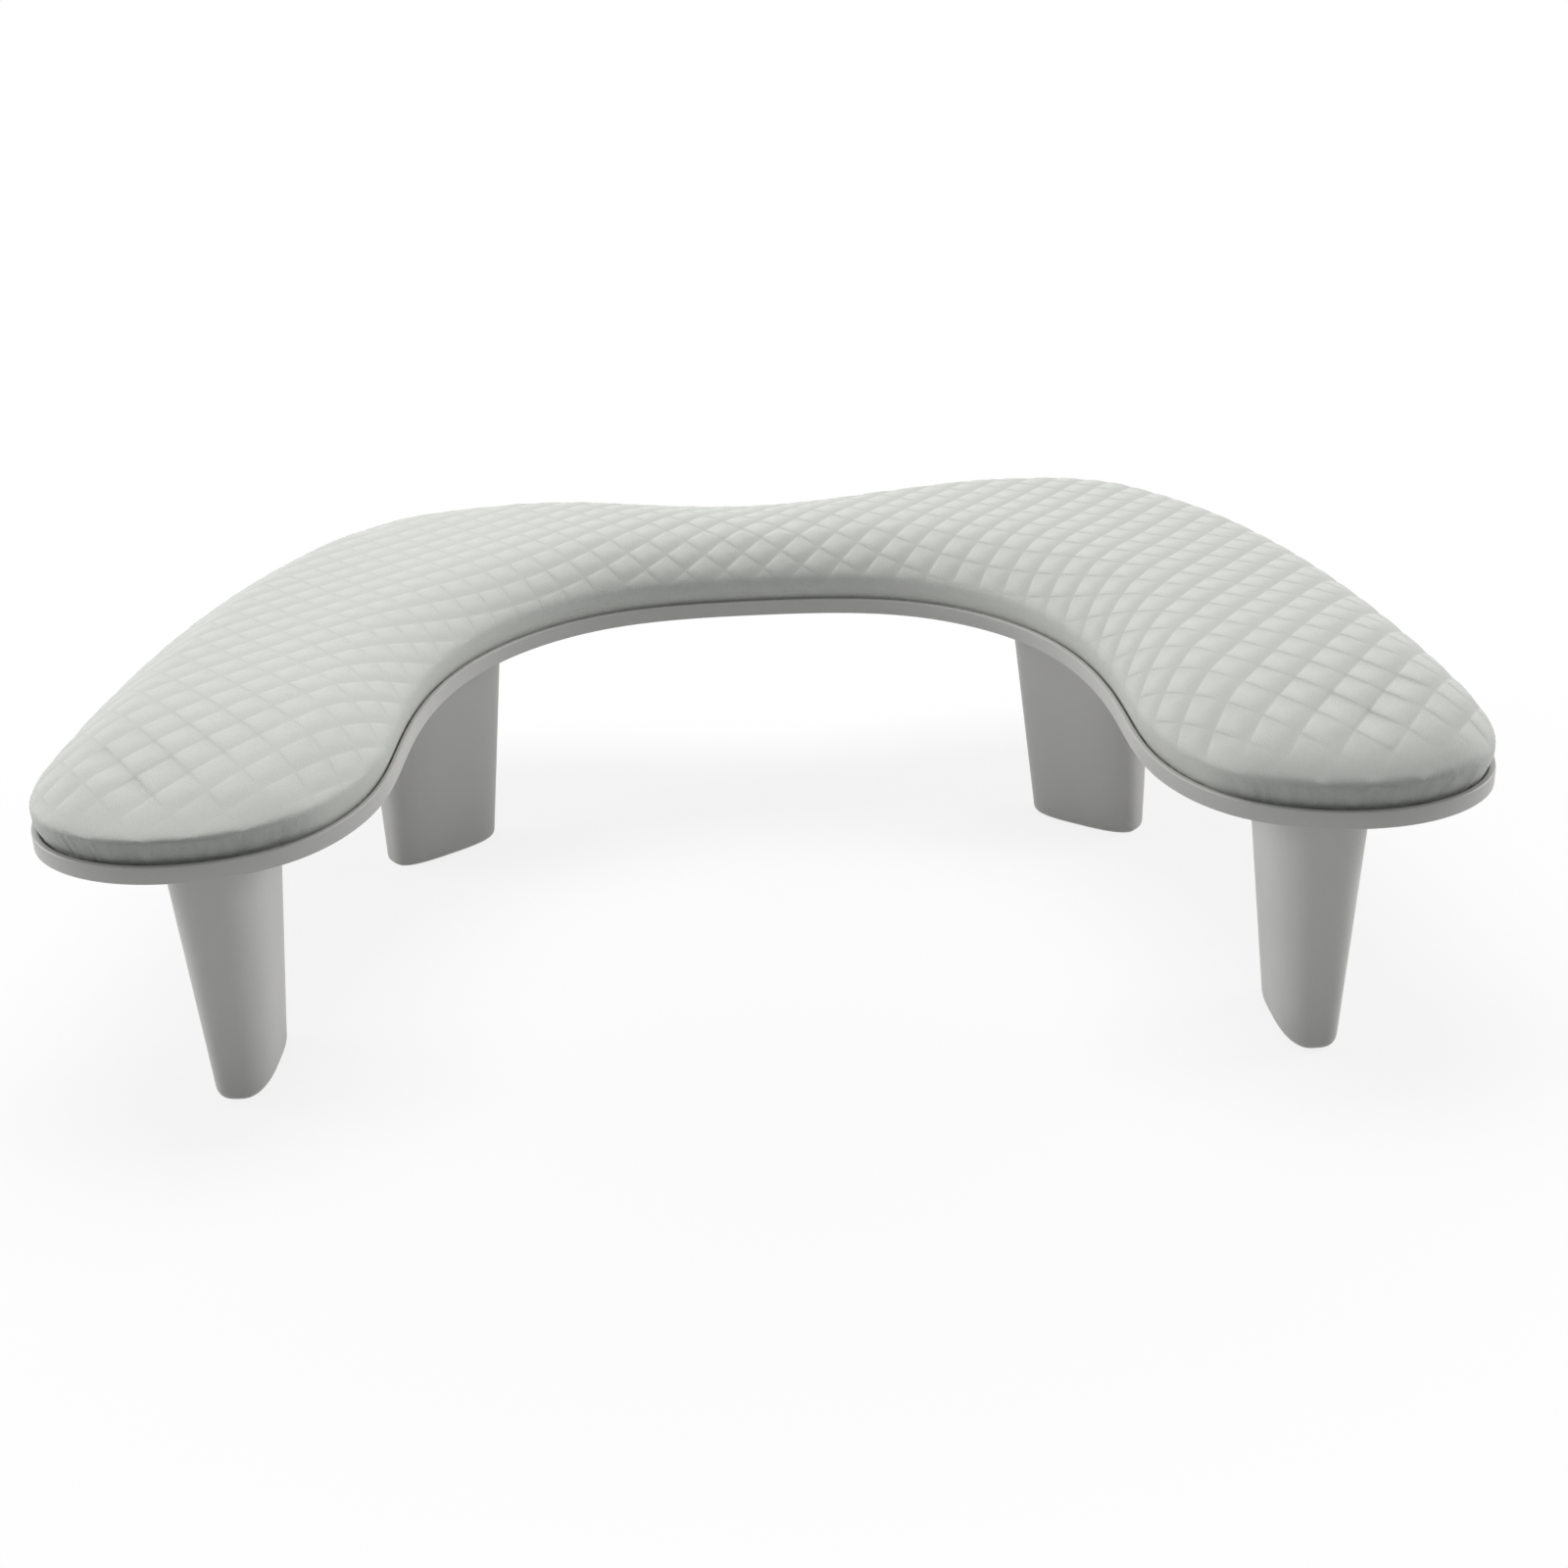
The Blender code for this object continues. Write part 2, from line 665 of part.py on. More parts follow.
def circle(radius, shift, height):
    turns = [2 * pi * (k + 0.5) / OVAL_STEPS for k in range(OVAL_STEPS)]
    return [(shift + radius * cos(a), radius * sin(a), height) for a in turns]


def leg_mesh():
    """A tapered cup with a screw boss inside, open at the top, with a recess for its pad below."""
    foot, top = PAD_PROUD, DECK_UNDER - CLEARANCE
    recess = PAD_THICKNESS - PAD_PROUD + CLEARANCE
    pilot = LEG_SHANK_RADIUS + CLEARANCE
    floor = foot + LEG_FLOOR
    hole_bottom = DECK_TOP - LEG_SCREW_LENGTH
    flat_recess = [(x, y, foot + recess) for x, y, _ in leg_oval(foot, PAD_INSET)]
    rings = [
        flat_recess,
        leg_oval(foot, PAD_INSET),
        [(x, y, foot) for x, y, _ in leg_oval(foot, FOOT_ROUND)],
        *[leg_oval(foot + up * FOOT_ROUND, away * FOOT_ROUND) for up, away in FOOT_ROUND_SHARES],
        leg_oval(foot + FOOT_ROUND, 0),
        leg_oval(top, 0),
        leg_oval(top, LEG_WALL),
        leg_oval(floor, LEG_WALL),
        circle(BOSS_RADIUS, -LEG_LEAN, floor),
        circle(BOSS_RADIUS, -LEG_LEAN, top),
        circle(pilot, -LEG_LEAN, top),
        circle(pilot, -LEG_LEAN, hole_bottom),
    ]
    return loft(rings)


def place_in_leg(leg, x, y):
    _, leg_x, leg_y, turn = leg
    return leg_x + x * cos(turn) - y * sin(turn), leg_y + x * sin(turn) + y * cos(turn)


def leg_top_centre(leg):
    return place_in_leg(leg, -LEG_LEAN, 0)


def leg_oval_prism(leg, outset, bottom, top):
    """An upright oval block round a leg's top, for its collar and socket."""
    shape = [place_in_leg(leg, x, y) for x, y, _ in leg_oval(DECK_UNDER - CLEARANCE, -outset)]
    return loft([[(x, y, z) for x, y in shape] for z in (bottom, top)])


def foot_pad_mesh():
    outline = leg_oval(PAD_PROUD, PAD_INSET + CLEARANCE)
    small = leg_oval(PAD_PROUD, PAD_INSET + CLEARANCE + PAD_EDGE)
    return loft(
        [
            [(x, y, 0.0) for x, y, _ in small],
            [(x, y, PAD_EDGE) for x, y, _ in outline],
            [(x, y, PAD_THICKNESS) for x, y, _ in outline],
        ]
    )


# Screws


def screw_mesh(name, head_radius, head_height, shank_radius, length, material):
    """A pan-head screw's profile, turned by a Screw modifier; its head's underside is at height 0."""
    tip = SCREW_TIP_SHARE * shank_radius
    profile = [
        (0.0, head_height),
        (HEAD_TOP_SHARE * head_radius, head_height),
        (head_radius, HEAD_EDGE_SHARE * head_height),
        (head_radius, 0.0),
        (shank_radius, 0.0),
        (shank_radius, tip - length),
        (0.0, -length),
    ]
    data = bpy.data.meshes.new(name)
    data.from_pydata([(r, 0, z) for r, z in profile], [(i, i + 1) for i in range(len(profile) - 1)], [])
    data.materials.append(material)
    return data


def turned(name, data, collection):
    made = bpy.data.objects.new(name, data)
    collection.objects.link(made)
    turn = made.modifiers.new("turn", "SCREW")
    turn.steps = SCREW_STEPS
    turn.render_steps = SCREW_STEPS
    turn.use_merge_vertices = True
    turn.merge_threshold = SCREW_MERGE
    return made


def build():
    clear_scene()
    parts = new_collection("manicure_hand_rest")
    cutters = new_collection("cutters")
    cover_material = new_material("embossed_cover", *COVER_LOOK)
    shell_material = new_material("moulded_plastic", *SHELL_LOOK)
    foam_material = new_material("foam", *FOAM_LOOK)
    board_material = new_material("pressed_board", *BOARD_LOOK)
    steel_material = new_material("zinc_steel", *STEEL_LOOK)
    rubber_material = new_material("rubber", *RUBBER_LOOK)

    root = bpy.data.objects.new("hand_rest", None)
    parts.objects.link(root)

    made = [
        add_object(make_cover(), "cover", parts, cover_material, SOFT_SHARP_ANGLE),
        add_object(make_foam(), "foam", parts, foam_material, SOFT_SHARP_ANGLE),
        make_board(parts, cutters, board_material),
        make_tray(parts, cutters, shell_material),
    ]

    leg_data = add_object(leg_mesh(), "leg_front_right", parts, shell_material).data
    pad_data = add_object(foot_pad_mesh(), "foot_pad_front_right", parts, rubber_material).data
    screw_data = screw_mesh(
        "leg_screw", LEG_HEAD_RADIUS, LEG_HEAD_HEIGHT, LEG_SHANK_RADIUS, LEG_SCREW_LENGTH, steel_material
    )
    for leg in LEGS:
        name, x, y, turn = leg
        for prefix, data in (("leg_", leg_data), ("foot_pad_", pad_data)):
            piece = bpy.data.objects.get(prefix + name)
            if piece is None:
                piece = bpy.data.objects.new(prefix + name, data)
                parts.objects.link(piece)
            piece.location = (x, y, 0)
            piece.rotation_euler = (0, 0, turn)
            made.append(piece)
        screw = turned("leg_screw_" + name, screw_data, parts)
        screw.location = (*leg_top_centre(leg), DECK_TOP + CLEARANCE)
        made.append(screw)

    reach = BOARD_BOTTOM + SCREW_BITE - (DECK_UNDER - CLEARANCE)
    board_screw = screw_mesh(
        "board_screw", BOARD_HEAD_RADIUS, BOARD_HEAD_HEIGHT, BOARD_SHANK_RADIUS, reach, steel_material
    )
    for number, (x, y) in enumerate(mirrored(BOARD_SCREWS), start=1):
        screw = turned("board_screw_" + str(number), board_screw, parts)
        screw.location = (x, y, DECK_UNDER - CLEARANCE)
        screw.rotation_euler = (pi, 0, 0)
        made.append(screw)

    for piece in made:
        piece.parent = root


build()
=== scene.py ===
# Manicure hand rest: embossed cushion, moulded tray, tapered legs, foot pads and screws, on a pale table
from math import cos, pi, radians, sin

import bmesh
import bpy
import numpy as np
from mathutils import Matrix, Vector
from mathutils.kdtree import KDTree


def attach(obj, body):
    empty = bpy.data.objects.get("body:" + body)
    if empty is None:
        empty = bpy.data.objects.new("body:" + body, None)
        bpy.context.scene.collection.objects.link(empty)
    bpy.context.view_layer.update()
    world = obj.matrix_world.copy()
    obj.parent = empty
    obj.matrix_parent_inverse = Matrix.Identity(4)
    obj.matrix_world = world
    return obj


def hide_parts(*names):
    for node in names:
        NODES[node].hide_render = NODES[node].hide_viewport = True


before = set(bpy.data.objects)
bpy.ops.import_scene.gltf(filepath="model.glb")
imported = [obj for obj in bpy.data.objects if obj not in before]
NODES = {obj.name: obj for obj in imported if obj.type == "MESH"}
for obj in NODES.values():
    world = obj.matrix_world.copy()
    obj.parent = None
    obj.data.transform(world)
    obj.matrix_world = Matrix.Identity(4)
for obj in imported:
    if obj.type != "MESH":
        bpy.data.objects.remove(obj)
bpy.ops.object.select_all(action="DESELECT")
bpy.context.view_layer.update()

# Camera of the photograph: metres, degrees, and millimetres for its lens and sensor
CAMERA_PLACE = (-0.0039, -0.7317, 0.3491)
CAMERA_PITCH = 23.224
CAMERA_ROLL = 2.268
CAMERA_YAW = 0.861
CAMERA_LENS = 51.5
CAMERA_SENSOR = 36.0

# Room light and softboxes: name, place, the point it faces, size and power in watts
ROOM_COLOUR = (0.95, 0.97, 1.0, 1.0)
ROOM_STRENGTH = 0.24
WHITE = (1.0, 1.0, 1.0, 1.0)
SOFTBOXES = (
    ("top_light", (-0.10, 0.50, 1.5), (0.0, 0.0, 0.08), (1.4, 0.9), 16.8),
    ("left_light", (-1.5, 0.30, 0.5), (0.0, 0.0, 0.05), (0.9, 0.8), 8.0),
    ("right_light", (1.5, 0.35, 0.5), (0.0, 0.0, 0.05), (0.9, 0.8), 8.5),
)

# Table: the share of it that glows to the camera grows to 1 between two distances from the rest's middle
TABLE_SIZE = 14.0
TABLE_GREY = (0.66, 0.66, 0.66, 1.0)
TABLE_WHITE = (0.98, 0.98, 0.98, 1.0)
GLOW_NEAR = 0.84
GLOW_START = 0.22
GLOW_END = 0.45

# Shared by all pieces: gaps, rounded edges, and which faces and edges count as flat, sharp or low
CLEARANCE = 0.0003
SMALL_EDGE = 0.0003
BEVEL_ANGLE = 50
SHARP_ANGLE = 40
FLAT_FACING = 0.9
EDGE_PICK = 0.0001

# Outline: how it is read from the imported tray
SAME_HEIGHT = 0.00002
OUTLINE_STEPS = 704
FINE_STEPS = 16
ONWARD_PULL = 0.004
CHUNK = 8000

# Tray
LIP_TOP = 0.0835
SKIRT_HEIGHT = 0.0055
SKIRT_WALL = 0.0022
EDGE_ROUND = 0.0005
LIP_WIDTH = 0.0020
LIP_HEIGHT = 0.0017
DECK_THICKNESS = 0.0020
DECK_TOP = LIP_TOP - LIP_HEIGHT
DECK_UNDER = DECK_TOP - DECK_THICKNESS
SKIRT_BOTTOM = LIP_TOP - SKIRT_HEIGHT
RIB_THICKNESS = 0.0016
RIB_RECESS = 0.0003
RIB_CENTRE = (0.0, -0.0405)
RIB_TURNS = (-8, 28, 62, 90, 118, 152, 188)
RIB_REACH = 0.44
RIB_SAMPLES = 900
COLLAR_WALL = 0.0016
BOSS_RADIUS = 0.0045
BOSS_DEPTH = 0.0006
BOSS_EDGE = 0.0002
BOSS_STEPS = 48
SEAT_RADIUS = 0.0036
ROOTED = 0.0006

# Cushion: inset and height pairs up its side, then its crown; heights are measured from the tray's lip
SIDE_PROFILE = ((0.0026, -0.0012), (0.0026, 0.0), (0.0014, 0.0022), (0.0005, 0.0048), (0.0003, 0.0080))
SIDE_TOP = 0.0080
CROWN_TOP = 0.0239
CROWN_REACH = 0.0224
CROWN_POWER = 1.5
SECTION_STEPS = 200
SECTION_CROWDING = 1.6
CREST_Y = -0.0604
FRONT_Y = -0.1520
BACK_Y = 0.1520
TIP_DROP = 0.60
BACK_DROP = 0.10
FLANK_START = 0.060
FLANK_SPAN = 0.150
LEFT_SAG = 0.0041
RIGHT_FILL = 0.0021

# Arm tips: a crease above a band that is tucked in under it, with small pleats
BAND_START_Y = -0.100
BAND_SPAN_Y = 0.030
BAND_FACING = 0.50
BAND_FACING_SPAN = 0.35
BAND_TUCK = 0.0006
CREASE_PUSH = 0.0009
CREASE_PUSH_SPAN = 0.0035
CREASE_POWER = 1.85
BAND_EDGE = 0.002
# How far above the crease the painted shade on the tips' forward faces fades out
TIP_FRONT_FADE_SPAN = 0.020
PLEAT_DEPTH = 0.00022
PLEATS_AROUND = 410
PLEAT_DRIFT = 2.2
SLOW_PLEATS_AROUND = 151
SLOW_PLEAT_SHARE = 0.6
PLEATS_LOW = 0.001
PLEATS_SPAN = 0.003

# Embossed diamonds, in the cover's own flat measure: the cells grow towards the arm tips
CELL_WIDTH = 0.01402
CELL_WIDENING = 0.000145
CELLS_MIDDLE = -0.00725
CELL_LENGTH = 0.01513
CELL_LENGTHENING = 0.0001065
TIP_LENGTHENING = 0.000017
ROWS_START = 0.0737
ROW_MIDDLE = -1.27
ROW_BOW = 0.00007
ROW_FAN = 0.0000066
FACET_SHIFT = 0.25
LINES_EACH_WAY = 33
FLAT_REACH = (0.26, 0.19)

# Mesh lines within a cell, as shares of it, and how the embossing rises, slopes and fades towards the rim
CELL_LINES = (0.0, 0.03, 0.08, 0.19, 0.33, 0.48, 0.63, 0.78, 0.91, 0.97)
FACET_RISE = 0.00034
STEEP_SHARE = 0.14
SLOPE_SHARE = 0.52
RELIEF_START = 0.006
RELIEF_SPAN = 0.011
TIP_RELIEF_START = 0.006
TIP_RELIEF_SPAN = 0.014
LEFT_FLATNESS = 0.45
LEFT_FLAT_START = -0.02
LEFT_FLAT_SPAN = 0.10

# Laying: where the cover follows the rim or its own flat place, and how its meeting sides are evened
SIDE_BLEND = 0.012
MEETING_JUMP = 0.02
MEETING_DEPTH = 0.006
MEETING_LINES = 14
MEETING_ROUNDS = 160

# Filling that presses the cover out
VOXEL = 0.0045
PRESSURE = 4.0
CLOTH_FRAMES = 20
MOST_SWELL = 0.0011
SPREAD_OVER = 18
HELD_HEIGHT = 0.0035
TINY = 1e-9

# Legs: tapered ovals, with the name, place and turn of each; the long axis runs along the arm
FOOT_LENGTH = 0.0428
FOOT_WIDTH = 0.0174
TOP_LENGTH = 0.0520
TOP_WIDTH = 0.0314
LEG_LEAN = 0.0040
OVAL_POWER = 2.9
FOOT_ROUND = 0.0030
PAD_INSET = 0.0036
PAD_THICKNESS = 0.0015
PAD_PROUD = 0.0005
LEGS = (
    ("front_right", 0.1627, -0.1222, -88.0),
    ("front_left", -0.1627, -0.1222, 268.0),
    ("rear_right", 0.1212, 0.0344, -38.0),
    ("rear_left", -0.1212, 0.0344, 218.0),
)
OVAL_STEPS = 96

# Screws of the board, seen from below
SCREW_STEPS = 40
SCREW_SHARP_ANGLE = 35
SCREW_TURN = 37
HEAD_ROUND_SHARE = 0.55
TIP_SHARE = 0.15
HEAD_RADIUS = 0.0030
HEAD_HEIGHT = 0.0010
SHANK_RADIUS = 0.0014
SHANK_LENGTH = 0.0056
TIP_LENGTH = 0.0013
RECESS_ARM = 0.0034
RECESS_WIDTH = 0.0008
RECESS_DEPTH = 0.0006
BOARD_SCREWS = ((0.0450, 0.09725), (0.1660, 0.0600), (0.1660, -0.0620))

# Colours
COVER_COLOUR = (0.715, 0.725, 0.682)
# The cover's darker colour: the weave's tone, and the painted shade on diamonds, tip fronts, tucked band and
# pleats, blend towards it
COVER_SHADE = (0.400, 0.412, 0.385)
COVER_MARK = (0.640, 0.640, 0.600)
# Painted shade on the diamonds' right slopes and along their lines
DIAMOND_PAINTED_SHADE = 0.44
WEAVE_SHADE = 0.17
MARK_SHADE = 0.14
# Painted shade in the folds of the pleats
PLEAT_PAINTED_SHADE = 0.22
# Painted shade on the tucked band under the crease
BAND_PAINTED_SHADE = 0.30
# Painted shade on the arm tips' forward faces
TIP_FRONT_SHADE = 0.42
TRAY_COLOUR = (0.575, 0.570, 0.545)
TRAY_SHADE = (0.490, 0.485, 0.462)
# The legs use a lighter tone of the tray's plastic, painted light that brightens them against the rim
LEG_COLOUR = (0.640, 0.634, 0.606)
LEG_SHADE = (0.560, 0.555, 0.530)
DUST = (0.720, 0.710, 0.690)
SCUFF = (0.420, 0.415, 0.400)
RUBBER_COLOUR = (0.050, 0.050, 0.050)
RUBBER_SHADE = (0.080, 0.078, 0.075)
STEEL_COLOUR = (0.640, 0.640, 0.650)
STEEL_SHADE = (0.540, 0.545, 0.560)
STEEL_TARNISH = (0.420, 0.410, 0.390)
FOAM_COLOUR = (0.800, 0.760, 0.620)
FOAM_PORE = (0.550, 0.500, 0.380)
BOARD_COLOUR = (0.540, 0.420, 0.280)
BOARD_SHADE = (0.400, 0.300, 0.200)

# Cover's weave
THREADS_PER_METRE = 900.0
WEFT_SHARE = 0.8
WARP_SHARE = 0.35
THREAD_RELIEF = 0.3
MIDDLE_TONE = 0.5
SLUB_SCALE = 700.0
SLUB_STRETCH = (1.0, 0.25, 1.0)
PLEAT_STRETCH = (620.0, 40.0, 1.0)
FIBRE_STRETCH = (1.0, 0.35, 1.0)

# Marks and grain: finer and slower patterns, as multiples of a material's own scale
DUST_FINENESS = 22.0
MOTTLE_FINENESS = 0.03


# Camera, table and light


def add_camera():
    """Places the camera where the photograph was taken from."""
    pitch, roll, yaw = radians(CAMERA_PITCH), radians(CAMERA_ROLL), radians(CAMERA_YAW)
    forward = Vector((sin(yaw) * cos(pitch), cos(yaw) * cos(pitch), -sin(pitch)))
    level = Vector((cos(yaw), -sin(yaw), 0.0))
    below = forward.cross(level)
    right = cos(roll) * level + sin(roll) * below
    down = cos(roll) * below - sin(roll) * level
    camera = bpy.data.objects.new("camera", bpy.data.cameras.new("camera"))
    bpy.context.scene.collection.objects.link(camera)
    turn = Matrix((right, -down, -forward)).transposed().to_4x4()
    camera.matrix_world = Matrix.Translation(CAMERA_PLACE) @ turn
    camera.data.lens = CAMERA_LENS
    camera.data.sensor_width = CAMERA_SENSOR
    camera.data.clip_start = 0.01
    bpy.context.scene.camera = camera


def add_softbox(name, place, target, size, power):
    """A square area light that faces its target."""
    light = bpy.data.objects.new(name, bpy.data.lights.new(name, "AREA"))
    bpy.context.scene.collection.objects.link(light)
    light.data.shape = "RECTANGLE"
    light.data.size, light.data.size_y = size
    light.data.energy = power
    light.location = place
    light.rotation_euler = (Vector(target) - Vector(place)).to_track_quat("-Z", "Y").to_euler()


def calculate(tree, operation, *values, clamp=False):
    """A Math node fed by sockets or plain numbers."""
    node = tree.nodes.new("ShaderNodeMath")
    node.operation = operation
    node.use_clamp = clamp
    for socket, value in zip(node.inputs, values):
        if isinstance(value, (int, float)):
            socket.default_value = value
        else:
            tree.links.new(value, socket)
    return node.outputs[0]


def share_of(tree, value, amount):
    """A value multiplied by an amount."""
    return calculate(tree, "MULTIPLY", value, amount)


def ramp(tree, value, low, high, from_value=0.0, to_value=1.0):
    """A smooth step of a value between two limits."""
    node = tree.nodes.new("ShaderNodeMapRange")
    node.interpolation_type = "SMOOTHSTEP"
    tree.links.new(value, node.inputs["Value"])
    for socket, number in zip(list(node.inputs)[1:5], (low, high, from_value, to_value)):
        socket.default_value = number
    return node.outputs["Result"]


def seen_directly(tree):
    """A value that is 1 where the camera, a reflection or glass looks at the background."""
    path = tree.nodes.new("ShaderNodeLightPath")
    looked_at = calculate(tree, "MAXIMUM", path.outputs["Is Camera Ray"], path.outputs["Is Glossy Ray"])
    return calculate(tree, "MAXIMUM", looked_at, path.outputs["Is Transmission Ray"])


def light_the_room():
    """Dim cool room light, a white background for the camera, and the softboxes."""
    world = bpy.data.worlds.new("room")
    bpy.context.scene.world = world
    world.use_nodes = True
    tree = world.node_tree
    tree.nodes.clear()
    room = tree.nodes.new("ShaderNodeBackground")
    room.inputs["Color"].default_value = ROOM_COLOUR
    room.inputs["Strength"].default_value = ROOM_STRENGTH
    white = tree.nodes.new("ShaderNodeBackground")
    white.inputs["Color"].default_value = WHITE
    mix = tree.nodes.new("ShaderNodeMixShader")
    output = tree.nodes.new("ShaderNodeOutputWorld")
    tree.links.new(seen_directly(tree), mix.inputs["Fac"])
    tree.links.new(room.outputs[0], mix.inputs[1])
    tree.links.new(white.outputs[0], mix.inputs[2])
    tree.links.new(mix.outputs[0], output.inputs["Surface"])
    for softbox in SOFTBOXES:
        add_softbox(*softbox)


def lay_table():
    """The table bounces light as pale grey, and the camera sees it white with the rest's soft shadow."""
    bpy.ops.mesh.primitive_plane_add(size=TABLE_SIZE, location=(0.0, 0.0, 0.0))
    table = bpy.context.object
    table.name = "table_top"
    material = bpy.data.materials.new("white_table")
    material.use_nodes = True
    tree = material.node_tree
    tree.nodes.remove(tree.nodes["Principled BSDF"])
    bounce = tree.nodes.new("ShaderNodeBsdfDiffuse")
    bounce.inputs["Color"].default_value = TABLE_GREY
    shaded = tree.nodes.new("ShaderNodeBsdfDiffuse")
    shaded.inputs["Color"].default_value = TABLE_WHITE
    glow = tree.nodes.new("ShaderNodeEmission")
    place = tree.nodes.new("ShaderNodeTexCoord")
    distance = tree.nodes.new("ShaderNodeVectorMath")
    distance.operation = "LENGTH"
    tree.links.new(place.outputs["Object"], distance.inputs[0])
    share = ramp(tree, distance.outputs["Value"], GLOW_START, GLOW_END, GLOW_NEAR, 1.0)
    seen = tree.nodes.new("ShaderNodeMixShader")
    tree.links.new(share, seen.inputs["Fac"])
    tree.links.new(shaded.outputs[0], seen.inputs[1])
    tree.links.new(glow.outputs[0], seen.inputs[2])
    mix = tree.nodes.new("ShaderNodeMixShader")
    tree.links.new(seen_directly(tree), mix.inputs["Fac"])
    tree.links.new(bounce.outputs[0], mix.inputs[1])
    tree.links.new(seen.outputs[0], mix.inputs[2])
    tree.links.new(mix.outputs[0], tree.nodes["Material Output"].inputs["Surface"])
    table.data.materials.append(material)


# Outline of the rest


def periodic_spline(knots, fine_steps):
    """A closed cubic spline through the knots, read at many places."""
    count = len(knots)
    span = np.linalg.norm(np.roll(knots, -1, axis=0) - knots, axis=1)
    before = np.roll(span, 1)
    matrix = np.zeros((count, count))
    right = np.zeros((count, 2))
    slope = (np.roll(knots, -1, axis=0) - knots) / span[:, None]
    for i in range(count):
        matrix[i, i - 1] = span[i]
        matrix[i, i] = 2 * (span[i] + before[i])
        matrix[i, (i + 1) % count] = before[i]
        right[i] = 3 * (span[i] * slope[i - 1] + before[i] * slope[i])
    tangent = np.linalg.solve(matrix, right)
    t = np.linspace(0, 1, fine_steps, endpoint=False)[:, None]
    found = []
    for i in range(count):
        after = (i + 1) % count
        found.append(
            (2 * t**3 - 3 * t**2 + 1) * knots[i]
            + (t**3 - 2 * t**2 + t) * span[i] * tangent[i]
            + (3 * t**2 - 2 * t**3) * knots[after]
            + (t**3 - t**2) * span[i] * tangent[after]
        )
    return np.concatenate(found)


def read_outline():
    """The tray's outer edge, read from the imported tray, as a smooth closed line and its inward normals."""
    edge_height = LIP_TOP - EDGE_ROUND
    level = [v.co for v in NODES["tray"].data.vertices if abs(v.co.z - edge_height) < SAME_HEIGHT]
    spots = sorted({(round(co.x, 5), round(co.y, 5)) for co in level})
    left = [Vector(spot) for spot in spots]
    start = max(left, key=lambda spot: (spot.y > 0.1) - abs(spot.x))
    walk = [start]
    left.remove(start)
    onward = Vector((-1.0, 0.0))
    while left:
        steps = [spot - walk[-1] for spot in left]
        pulls = [step.length - ONWARD_PULL * onward.dot(step.normalized()) for step in steps]
        nearest = pulls.index(min(pulls))
        following = left[nearest]
        onward = steps[nearest].normalized()
        walk.append(following)
        left.remove(following)
    fine = periodic_spline(np.array([tuple(spot) for spot in walk]), FINE_STEPS)
    closed = np.vstack([fine, fine[:1]])
    length = np.concatenate([[0], np.cumsum(np.linalg.norm(np.diff(closed, axis=0), axis=1))])
    wanted = np.linspace(0, length[-1], OUTLINE_STEPS, endpoint=False)
    points = np.column_stack([np.interp(wanted, length, closed[:, k]) for k in (0, 1)])
    ahead = np.roll(points, -1, axis=0) - np.roll(points, 1, axis=0)
    ahead /= np.linalg.norm(ahead, axis=1)[:, None]
    return points, np.column_stack([-ahead[:, 1], ahead[:, 0]])


OUTLINE, INWARD = read_outline()


def nearest_on_outline(points):
    """For each point: the nearest place on the outline, the inward normal there, and the depth inside."""
    step = np.roll(OUTLINE, -1, axis=0) - OUTLINE
    following = np.roll(INWARD, -1, axis=0)
    places, normals, depths, along = [], [], [], []
    for start in range(0, len(points), CHUNK):
        some = points[start:start + CHUNK]
        away = some[:, None, :] - OUTLINE[None]
        share = np.clip((away * step).sum(2) / (step**2).sum(1), 0, 1)
        gap = ((away - share[..., None] * step) ** 2).sum(2)
        best = gap.argmin(1)
        part = share[np.arange(len(some)), best][:, None]
        place = OUTLINE[best] + part * step[best]
        normal = INWARD[best] * (1 - part) + following[best] * part
        normal /= np.linalg.norm(normal, axis=1)[:, None]
        places.append(place)
        normals.append(normal)
        depths.append(((some - place) * normal).sum(1))
        along.append((best + part[:, 0]) / len(OUTLINE))
    return np.concatenate(places), np.concatenate(normals), np.concatenate(depths), np.concatenate(along)


# Helpers for modelling


def select_only(piece):
    bpy.ops.object.select_all(action="DESELECT")
    piece.select_set(True)
    bpy.context.view_layer.objects.active = piece


def apply_modifier(piece, kind, **values):
    select_only(piece)
    modifier = piece.modifiers.new(kind.lower(), kind)
    for name, value in values.items():
        setattr(modifier, name, value)
    bpy.ops.object.modifier_apply(modifier=modifier.name)


def edit(piece, mode="FACE"):
    select_only(piece)
    bpy.ops.object.mode_set(mode="EDIT")
    bpy.ops.mesh.select_mode(type=mode)


def pick(piece, test, mode="FACE"):
    """Selects the faces that pass a test on their middle and normal, or the edges by their two ends."""
    edit(piece, mode)
    bpy.ops.mesh.select_all(action="DESELECT")
    mesh = bmesh.from_edit_mesh(piece.data)
    if mode == "FACE":
        for face in mesh.faces:
            if test(face.calc_center_median(), face.normal):
                face.select_set(True)
    else:
        for line in mesh.edges:
            if test(line.verts[0].co, line.verts[1].co):
                line.select_set(True)
    mesh.select_flush_mode()
    bmesh.update_edit_mesh(piece.data)


def faces_down(middle, normal):
    """A test for pick: flat faces that look down."""
    return normal.z < -FLAT_FACING


def extrude(height):
    bpy.ops.mesh.extrude_region_move(TRANSFORM_OT_translate={"value": (0, 0, height)})


def face_outwards():
    """Turns all faces of the edited piece outwards and leaves edit mode."""
    bpy.ops.mesh.select_all(action="SELECT")
    bpy.ops.mesh.normals_make_consistent(inside=False)
    bpy.ops.object.mode_set(mode="OBJECT")


def round_edges(piece, width, segments=2):
    limit = radians(BEVEL_ANGLE)
    apply_modifier(piece, "BEVEL", width=width, segments=segments, limit_method="ANGLE", angle_limit=limit)


